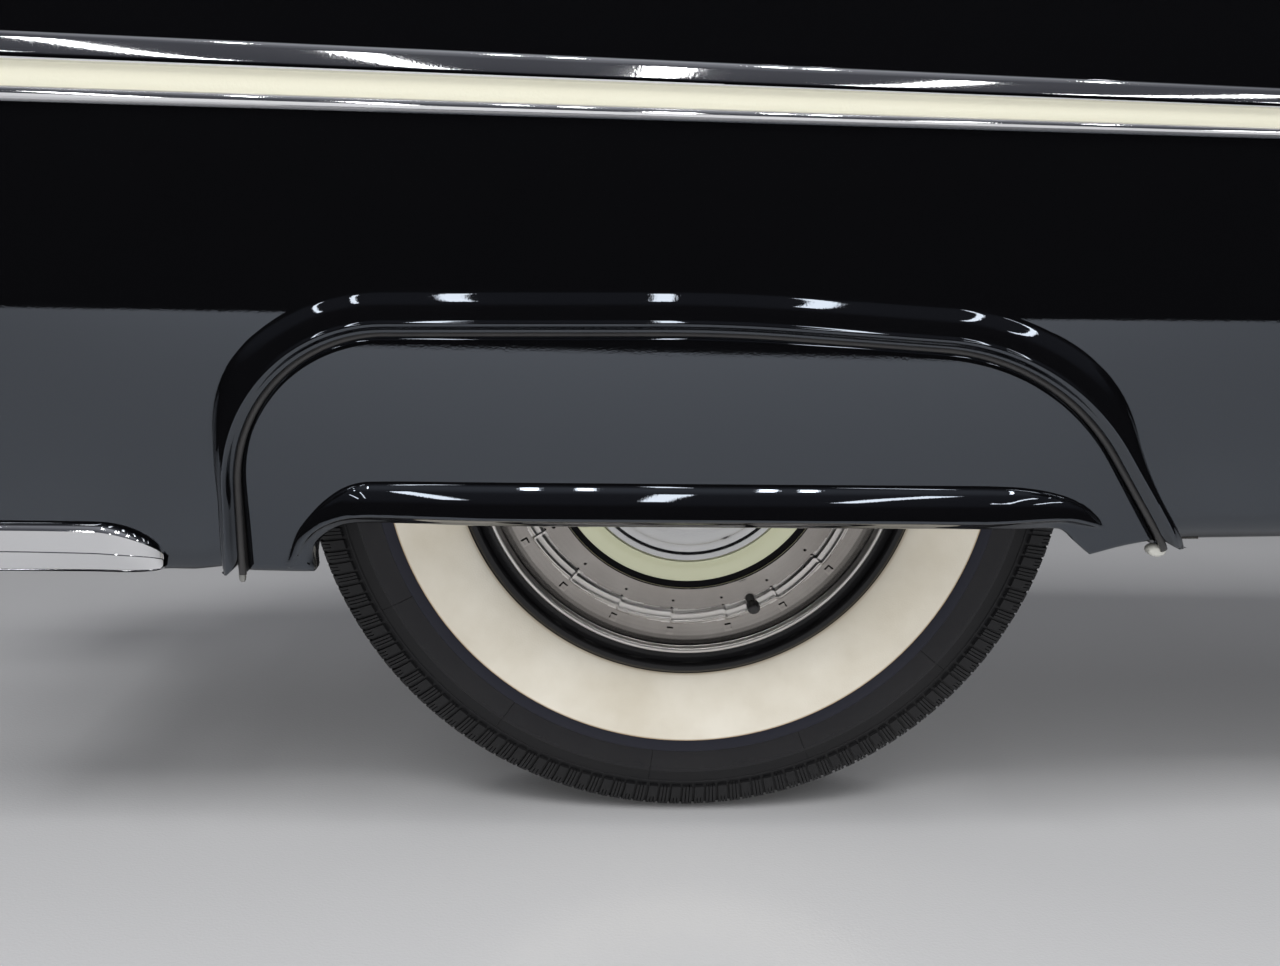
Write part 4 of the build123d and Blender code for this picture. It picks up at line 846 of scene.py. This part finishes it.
def panel_grid():
    """Rows run outward from the seal's line over the flare and the side to the panel's outer edges."""
    line, normal, walked = opening_line(PANEL_COLUMNS)
    end = walked[-1]
    # the grid's lines bend at both ends so that they run along the sill
    front = smooth_step(FRONT_BEND, 0.0, walked)[:, None]
    rear = smooth_step(end - REAR_BEND, end, walked)[:, None]
    normal = normal * (1 - front) + np.array(FRONT_WAY) * front
    normal = normal * (1 - rear) + np.array(REAR_WAY) * rear
    normal /= np.linalg.norm(normal, axis=1)[:, None]
    x0, x1 = BODY_SECTIONS[0, 0], BODY_SECTIONS[-1, 0] - SKIN
    belt = float(body_surface(np.array([0.0]), np.array([0.0]))[2][0])
    far = np.full(PANEL_COLUMNS, 9.0)
    for i, (spot, way) in enumerate(zip(line, normal)):
        if way[0] < 0:
            far[i] = min(far[i], (x0 - spot[0]) / way[0])
        if way[0] > 0:
            far[i] = min(far[i], (x1 - spot[0]) / way[0])
        if way[1] > 0:
            far[i] = min(far[i], (belt - spot[1]) / way[1])
    # the corners between the opening and the sill are rounded
    foot = CORNER_R - np.clip(np.minimum(walked, end - walked), 0.0, CORNER_R)
    first = SEAL_HALF + CORNER_R - np.sqrt(CORNER_R ** 2 - foot ** 2)
    far_steps = 0.5 - 0.5 * np.cos(np.linspace(0, math.pi, 52))[1:]
    near_steps = np.linspace(0, 1, 54) ** 1.25
    gap = np.concatenate([first[:, None] + (FLARE_SPAN - first)[:, None] * near_steps[None],
                          FLARE_SPAN + (far - FLARE_SPAN)[:, None] * far_steps[None]], 1)
    x = line[:, None, 0] + normal[:, None, 0] * gap
    girth = line[:, None, 1] + normal[:, None, 1] * gap
    height, reach, _ = body_surface(x, girth)
    height = np.maximum(height, sill_height(x))
    distance = np.abs(nearest_on(rounded_path(OPENING, 0.006), x, height)[0])
    fillet = FILLET + LOW_FILLET * (1 - smooth_step(0.020, 0.120, height))
    reach = blend_high(reach, flare_reach(distance, height), fillet) - sill_roll(x, height)
    return x, height, reach


def with_turned_edges(x, height, reach):
    """Adds the lip round the opening, the turned outer edges and the flange under the sill."""
    inner = [(x[:, :1], height[:, :1], np.full_like(x[:, :1], depth)) for depth in LIP_REACHES]
    outer = [(x[:, -1:], height[:, -1:], np.minimum(reach[:, -1:] - 0.002, depth))
             for depth in EDGE_REACHES]
    x, height, reach = (np.concatenate(run, 1) for run in zip(*inner, (x, height, reach), *outer))
    front = [(x[:1], height[:1], np.minimum(reach[:1], depth)) for depth in FLANGE_REACHES]
    rear = [(x[-1:], height[-1:], np.minimum(reach[-1:], depth)) for depth in FLANGE_REACHES[::-1]]
    return [np.concatenate(run, 0) for run in zip(*front, (x, height, reach), *rear)]


def solid_sheet(piece, thickness):
    """Gives a sheet its real thickness, behind its outer face."""
    made = piece.modifiers.new("thickness", "SOLIDIFY")
    made.thickness = thickness
    made.offset = -1.0
    return piece


grid = to_row(*with_turned_edges(*panel_grid()))[::-1]
panel = sheet("quarter_panel", grid, body_black, 60.0)
solid_sheet(panel, SKIN)
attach(panel, "root")
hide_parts("quarter_panel")


# Fender skirt
# A separate pressing that fills the top of the opening and tucks under like the body. A half-round
# bead stiffens its bottom edge and tapers down both feet, and below the bead the sheet rolls inward.
SKIRT_TOP, SKIRT_TOP_REACH = 0.105, 0.1175
SKIRT_LEAN, SKIRT_TUCK = 0.078, 0.06
SKIRT_FOLD = 0.085           # inner edge of the flange along the seal
SKIRT_ROUND = 0.0055         # radius between that flange and the face
SKIRT_SHEET = 0.0012
SEAL_CLEAR = 0.0008
# the bead's section in shares of its half width: offset towards the seal, and rise over the face
BEAD_SECTION = [(-1.60, 0.00), (-1.42, 0.06), (-1.20, 0.22), (-1.05, 0.45), (-0.92, 0.74), (-0.83, 0.90),
                (-0.76, 0.96), (-0.69, 0.96), (-0.58, 0.94), (-0.40, 0.89), (-0.20, 0.83), (0.00, 0.76),
                (0.22, 0.67), (0.44, 0.56), (0.64, 0.44), (0.82, 0.30), (0.96, 0.16), (1.08, 0.05),
                (1.25, 0.00)]
# x, height and half width of the bead from the front foot to its point at the rear
BEAD_LINE = [(-0.3325, -0.0830, 0.0020), (-0.3312, -0.0790, 0.0028), (-0.3220, -0.0592, 0.0042),
             (-0.3097, -0.0456, 0.0060), (-0.2931, -0.0347, 0.0093), (-0.2748, -0.0285, 0.0124),
             (-0.2500, -0.0275, 0.0132), (-0.1600, -0.0290, 0.0142), (0.0, -0.0293, 0.0142),
             (0.2100, -0.0293, 0.0142), (0.2430, -0.0292, 0.0139), (0.2660, -0.0288, 0.0128),
             (0.2880, -0.0295, 0.0106), (0.3050, -0.0320, 0.0083), (0.3190, -0.0370, 0.0058),
             (0.3295, -0.0425, 0.0030), (0.3345, -0.0460, 0.0006)]
# x, height and width of the inward roll along the bottom edge
SKIRT_EDGE = [(-0.3655, -0.0885, 0.0065), (-0.3200, -0.0892, 0.0065), (-0.3130, -0.0880, 0.0070),
              (-0.3128, -0.0820, 0.0090), (-0.3130, -0.0742, 0.0110), (-0.3105, -0.0649, 0.0105),
              (-0.3035, -0.0572, 0.0085), (-0.2929, -0.0505, 0.0068), (-0.2809, -0.0474, 0.0060),
              (-0.2616, -0.0466, 0.0060), (-0.2260, -0.0475, 0.0062), (-0.1664, -0.0490, 0.0065),
              (0.0, -0.0493, 0.0065), (0.1656, -0.0494, 0.0065), (0.2537, -0.0493, 0.0062),
              (0.2948, -0.0480, 0.0050), (0.3050, -0.0508, 0.0040), (0.3133, -0.0583, 0.0034),
              (0.3262, -0.0690, 0.0030), (0.3295, -0.0697, 0.0030), (0.3435, -0.0657, 0.0034),
              (0.3580, -0.0618, 0.0034), (0.3860, -0.0560, 0.0030)]
SKIRT_COLUMNS = 340


def rounded_off(gap, width):
    """How far a surface has rolled back at a distance from the edge that it rolls towards."""
    share = 1 - np.clip(gap / width, 0.0, 1.0)
    return width * (1 - np.sqrt(1 - np.minimum(share, 0.985) ** 2))


def skirt_face(x, h):
    """Reach of the skirt's face with its bead, rolled inward along the bottom edge."""
    fall = SKIRT_TOP - h
    plain = SKIRT_TOP_REACH - SKIRT_LEAN * fall - SKIRT_TUCK * fall ** 2
    off, half = nearest_on(smooth_path(BEAD_LINE, 220), x, h)
    section = smooth_path(BEAD_SECTION, 300)
    bead = half * np.interp(off / half, section[:, 0], section[:, 1])
    gap, width = nearest_on(smooth_path(SKIRT_EDGE, 260), x, h)
    return plain + bead - rounded_off(np.abs(gap), width)


def skirt_grid():
    """Rows run from the seal over the rounded edge, down the face and over the bead to the edge."""
    line, normal, _ = opening_line(SKIRT_COLUMNS)
    bottom = smooth_path(SKIRT_EDGE, SKIRT_COLUMNS)[:, :2]
    seal = line - normal * SEAL_CLEAR
    shares = np.concatenate([np.linspace(0, 0.10, 16), np.linspace(0.10, 0.66, 30)[1:],
                             np.linspace(0.66, 1, 62)[1:]])[:, None]
    x, h = (seal[None, :, k] * (1 - shares) + bottom[None, :, k] * shares for k in (0, 1))
    reach = skirt_face(x, h) - rounded_off(np.abs(nearest_on(seal, x, h)[0]), SKIRT_ROUND)
    inner = to_row(x[:1], h[:1], np.full_like(x[:1], SKIRT_FOLD))
    turned_in = to_row(x[-1:], h[-1:] + 0.0005, reach[-1:] - 0.012)
    return np.concatenate([inner, to_row(x, h, reach), turned_in])


skirt = sheet("fender_skirt", skirt_grid()[:, ::-1], body_black, 50.0)
solid_sheet(skirt, SKIRT_SHEET)
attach(skirt, "root")
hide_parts("fender_skirt")


# Skirt seal, foot pin and rest
# Black rubber piping is pressed between the skirt and the flare's hem, a plated pin locks the front
# foot, and a white rubber pad props the rear one.
SEAL_BEAD_R, SEAL_REACH = 0.0030, 0.1135
SEAL_TAIL, SEAL_WEB = 0.078, 0.0012


def seal_piping():
    """A round bead with a thin web behind it, along the seal's middle line, closed at both feet."""
    line, normal, _ = opening_line(SKIRT_COLUMNS)
    section = [(SEAL_WEB, SEAL_TAIL), (SEAL_WEB, SEAL_REACH - 0.0030)]
    section += [(SEAL_BEAD_R * math.cos(a), SEAL_REACH + SEAL_BEAD_R * math.sin(a))
                for a in np.radians(np.linspace(-50, 230, 19))]
    section += [(-SEAL_WEB, SEAL_REACH - 0.0030), (-SEAL_WEB, SEAL_TAIL)]
    x, h = line.T
    tuck = sill_roll(x, h) * 0.5
    grid = np.array([to_row(x + normal[:, 0] * aside, h + normal[:, 1] * aside, reach - tuck)
                     for aside, reach in section])[:, ::-1]
    count = len(section) * SKIRT_COLUMNS
    rear_end = tuple(range(0, count, SKIRT_COLUMNS))
    front_end = tuple(range(SKIRT_COLUMNS - 1, count, SKIRT_COLUMNS))[::-1]
    faces = grid_faces(len(section), SKIRT_COLUMNS, True) + [rear_end, front_end]
    return mesh_object("skirt_seal", grid.reshape(-1, 3), faces, seal_rubber)


seal_rubber = varied("seal rubber", (0.014, 0.014, 0.016), (0.26, 0.36), dusty=0.1, scale=30.0, grain=900.0,
                     relief=0.00008)
seal = seal_piping()
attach(seal, "root")
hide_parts("skirt_seal")
plated_pin = varied("plated pin", (0.42, 0.42, 0.40), (0.3, 0.45), dusty=0.3, scale=60.0, metallic=1.0)
white_rubber = varied("white rubber", (0.6, 0.6, 0.56), (0.4, 0.6), dust=(0.3, 0.28, 0.22), dusty=0.3,
                      scale=60.0)
PIN_X, PIN_REACH = -0.3745, 0.0900
# radius and height of the pin from its foot up, and size and depth of the pad from its back forward
PIN_SECTION = [(0.0, -0.1000), (0.0016, -0.0996), (0.0026, -0.0980), (0.0030, -0.0950),
               (0.0030, -0.0905), (0.0026, -0.0880), (0.0026, -0.0800), (0.0, -0.0800)]
REST_X, REST_REACH, REST_HIGH = 0.3835, 0.0900, -0.0665
REST_LONG, REST_TALL = 0.0078, 0.0052
REST_SECTION = [(0.0, 0.0), (0.60, 0.0), (0.88, 0.0012), (1.0, 0.0040), (1.0, 0.0095), (0.90, 0.0125),
                (0.62, 0.0140), (0.0, 0.0142)]


def upright_pin():
    turns = -np.linspace(0, 2 * math.pi, 28, endpoint=False)
    grid = np.array([[to_row(PIN_X + r * math.cos(a), h, PIN_REACH + r * math.sin(a)) for a in turns]
                     for r, h in PIN_SECTION])
    return sheet("skirt_foot_pin", grid, plated_pin, wrap_columns=True)


def rest_pad():
    """An oval pad, wider than high, with rounded edges, lying against the skirt's rear foot."""
    oval = [(REST_LONG * math.cos(a), REST_TALL * math.sin(a))
            for a in np.linspace(0, 2 * math.pi, 40, endpoint=False)]
    grid = np.array([[to_row(REST_X + x * share, REST_HIGH + h * share, REST_REACH + proud) for x, h in oval]
                     for share, proud in REST_SECTION])
    return sheet("skirt_rest", grid, white_rubber, wrap_columns=True)


pin = upright_pin()
rest = rest_pad()
for part, node, slot in ((pin, "skirt_foot_pin", "bright_trim"), (rest, "skirt_rest", "white_rubber")):
    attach(part, "root")
    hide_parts(node)


# Side mouldings
# A drawn bright strip clipped to the side: a broad band above, a narrow one below, and between them a
# groove filled with cream enamel.
MOULD_FRONT, MOULD_REAR = -0.634, 0.760
# heights at the front and at the rear end
MOULD_TOP, MOULD_LOW = (0.333, 0.293), (0.281, 0.260)
# shares of the strip's height at which the enamel starts and ends
GROOVE_FOOT, GROOVE_TOP = 0.22, 0.58
chrome = varied("chrome", (0.82, 0.82, 0.83), (0.03, 0.07), dust=(0.6, 0.6, 0.6), dusty=0.1, metallic=1.0,
                relief=0.00002)
cream_enamel = varied("cream enamel", (0.78, 0.76, 0.62), (0.15, 0.25), dust=(0.6, 0.55, 0.4), dusty=0.1,
                      coat=0.4)


def moulding(name, low_share, high_share, section, material):
    """A strip along the side between two shares of the moulding's height, from (share, proud) points."""
    xs = np.linspace(MOULD_FRONT, MOULD_REAR, 90)
    low = np.interp(xs, [MOULD_FRONT, MOULD_REAR], MOULD_LOW)
    top = np.interp(xs, [MOULD_FRONT, MOULD_REAR], MOULD_TOP)
    rows = []
    for share, proud in section:
        h = low + (top - low) * (low_share + (high_share - low_share) * share)
        rows.append(to_row(xs, h, body_surface(xs, h)[1] + proud))
    strip = sheet(name, np.array(rows), material, 30.0)
    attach(strip, "root")
    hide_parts(name)
    return strip


upper = moulding("moulding_upper", GROOVE_TOP, 1.0,
                 [(0, -0.001), (0, 0.003), (0.02, 0.0048), (0.05, 0.0064), (0.1, 0.0070), (0.18, 0.0071),
                  (0.3, 0.0067), (0.45, 0.0060), (0.6, 0.0051), (0.75, 0.0041), (0.88, 0.0030),
                  (0.96, 0.0021), (1.0, 0.0012), (1.0, -0.001)], chrome)
insert = moulding("moulding_insert", GROOVE_FOOT, GROOVE_TOP,
                  [(0, -0.001), (0, 0.0012), (0.2, 0.0018), (0.5, 0.0022), (0.8, 0.0018), (1, 0.0012),
                   (1, -0.001)], cream_enamel)
lower = moulding("moulding_lower", 0.0, GROOVE_FOOT,
                 [(0, -0.001), (0, 0.0012), (0.1, 0.0030), (0.3, 0.0052), (0.5, 0.0058), (0.7, 0.0052),
                  (0.9, 0.0035), (1, 0.0022), (1, -0.001)], chrome)


# Rocker moulding
# A bright spear pressed from stainless sheet and clipped along the sill. Its upper face bows out to
# a crease that runs to the nose, and its lower face slopes back in to a rolled bottom edge.
# x, height of the top edge, the crease and the bottom edge
ROCKER_LINES = [(-0.634, -0.0490, -0.0725, -0.0925), (-0.560, -0.0490, -0.0730, -0.0925),
                (-0.500, -0.0495, -0.0740, -0.0927), (-0.482, -0.0510, -0.0748, -0.0930),
                (-0.466, -0.0562, -0.0762, -0.0933), (-0.452, -0.0642, -0.0782, -0.0930),
                (-0.4435, -0.0720, -0.0808, -0.0920), (-0.4408, -0.0775, -0.0830, -0.0895)]
ROCKER_EDGE, ROCKER_CREASE, ROCKER_BACK = 0.0860, 0.0965, 0.0700
ROCKER_ROLL = 1.07           # share of its rise that the upper face reaches above the crease
ROCKER_BOW = 0.28            # share of the upper face's height that bows out
NOSE_LONG, NOSE_DROP = 0.040, 0.006
LOW_CURL = 0.0022


def rocker_grid():
    """Rows run round the section from the hidden top edge over the crease to the hidden bottom edge."""
    lines = smooth_path(ROCKER_LINES, 120)
    x, top, crease, low = lines.T
    nose = 1 - rounded_off(x[-1] - x, NOSE_LONG) / NOSE_LONG
    edge = ROCKER_EDGE - NOSE_DROP * (1 - nose)
    ridge = edge + (ROCKER_CREASE - ROCKER_EDGE) * nose
    rows = [(top, np.full_like(x, ROCKER_BACK)), (top, edge - 0.001)]
    for t in np.linspace(0, 1, 22):
        rise = ROCKER_ROLL * min(t / ROCKER_BOW, 1.0) ** 0.45 + (1 - ROCKER_ROLL) * t
        rows.append((top + (crease - top) * t, edge + (ridge - edge) * rise))
    rows += [(crease - 0.0003, ridge + 0.0005), (crease - 0.0007, ridge + 0.0006)]
    for t in np.linspace(0, 1, 12)[1:]:
        rows.append((crease + (low + LOW_CURL - crease) * t, ridge + (edge + LOW_CURL - ridge) * t ** 1.1))
    for turn in np.radians((20, 60, 100, 150)):
        rows.append((low + LOW_CURL / 2 * (1 + math.cos(turn)), edge + 0.0012 + 0.0018 * math.sin(turn)))
    rows += [(low, edge - 0.002), (low, np.full_like(x, ROCKER_BACK))]
    return np.array([to_row(x, h, reach) for h, reach in rows])


spear = sheet("rocker_moulding", rocker_grid()[:, ::-1], chrome, 24.0)
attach(spear, "root")
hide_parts("rocker_moulding")


# Floor and light
# A plain pale studio floor at the tyre's foot. Soft lights above, low in front and behind light the
# floor and the white rubber, and far ceiling tubes and lamps are what the gloss black paint and the
# bright metal mirror.
floor_grey = varied("studio floor", (0.74, 0.74, 0.75), (0.16, 0.22), dusty=0.0, scale=1.5)
# its front edge runs where the low side of the body stops mirroring it
FLOOR_CORNERS = [(-4.0, -2.5), (4.0, -1.95), (4.0, 4.0), (-4.0, 4.0)]
ground = bpy.data.meshes.new("studio_floor")
ground.from_pydata([(x, y, AXLE_Z - TYRE_R) for x, y in FLOOR_CORNERS], [], [(0, 1, 2, 3)])
ground.materials.append(floor_grey)
floor = bpy.data.objects.new("studio_floor", ground)
bpy.context.scene.collection.objects.link(floor)


def studio_world():
    """Dark far surroundings for the gloss to mirror, and a plain pale backdrop behind the object."""
    world = bpy.data.worlds.new("studio")
    bpy.context.scene.world = world
    world.use_nodes = True
    tree = world.node_tree
    around = tree.nodes["Background"]
    backdrop = added(tree, "ShaderNodeBackground", {"Color": (0.42, 0.43, 0.45, 1.0)})
    place = added(tree, "ShaderNodeTexCoord")
    split = added(tree, "ShaderNodeSeparateXYZ")
    ramp = added(tree, "ShaderNodeValToRGB")
    bands = ramp.color_ramp.elements
    for place_up, colour in ((0.34, (0.004, 0.004, 0.005)), (0.46, (0.045, 0.047, 0.056)),
                             (0.80, (0.07, 0.073, 0.085))):
        bands.new(place_up).color = (*colour, 1)
    bands[0].color = (0.002, 0.002, 0.0025, 1)
    bands[-1].color = (0.30, 0.31, 0.34, 1)
    path = added(tree, "ShaderNodeLightPath")
    mix = added(tree, "ShaderNodeMixShader")
    wired(tree, [(place, "Generated", split, "Vector"), (split, "Z", ramp, "Fac"),
                 (ramp, "Color", around, "Color"), (path, "Is Camera Ray", mix, "Fac"),
                 (around, "Background", mix, 1), (backdrop, "Background", mix, 2),
                 (mix, "Shader", tree.nodes["World Output"], "Surface")])


studio_world()


def panel_light(name, place, target, size, power, mirrored_too=True):
    """A rectangular light that faces its target, and that glossy surfaces mirror or don't."""
    lamp = bpy.data.lights.new(name, "AREA")
    lamp.shape = "RECTANGLE"
    lamp.size, lamp.size_y = size
    lamp.energy = power
    made = bpy.data.objects.new(name, lamp)
    made.location = place
    made.rotation_euler = (Vector(target) - Vector(place)).to_track_quat("-Z", "Y").to_euler()
    made.visible_glossy = mirrored_too
    bpy.context.scene.collection.objects.link(made)


panel_light("soft_front", (0.0, -2.3, 3.2), (0.0, -0.9, -0.4), (3.0, 1.4), 82, False)
panel_light("low_front", (0.0, -3.6, -0.05), (0.0, -0.4, -0.3), (3.4, 0.6), 66, False)
panel_light("soft_rear", (0.3, 2.6, 2.2), (0.2, -0.1, 0.0), (2.0, 1.2), 22, False)
CEILING = 2.46
TUBE_Y, LAMP_Y = -3.55, -1.30
for x in (-2.55, -1.65, -0.75, 0.16, 1.03, 1.95, 2.85):
    panel_light("ceiling_tube", (x, TUBE_Y, CEILING), (x, TUBE_Y, 0.0), (0.12, 2.5), 9)
for x in (-1.9, -0.95, -0.28, -0.12, 0.40, 0.52, 1.25, 2.1):
    panel_light("ceiling_lamp", (x, LAMP_Y, CEILING), (x, LAMP_Y, 0.0), (0.05, 0.22), 0.8)
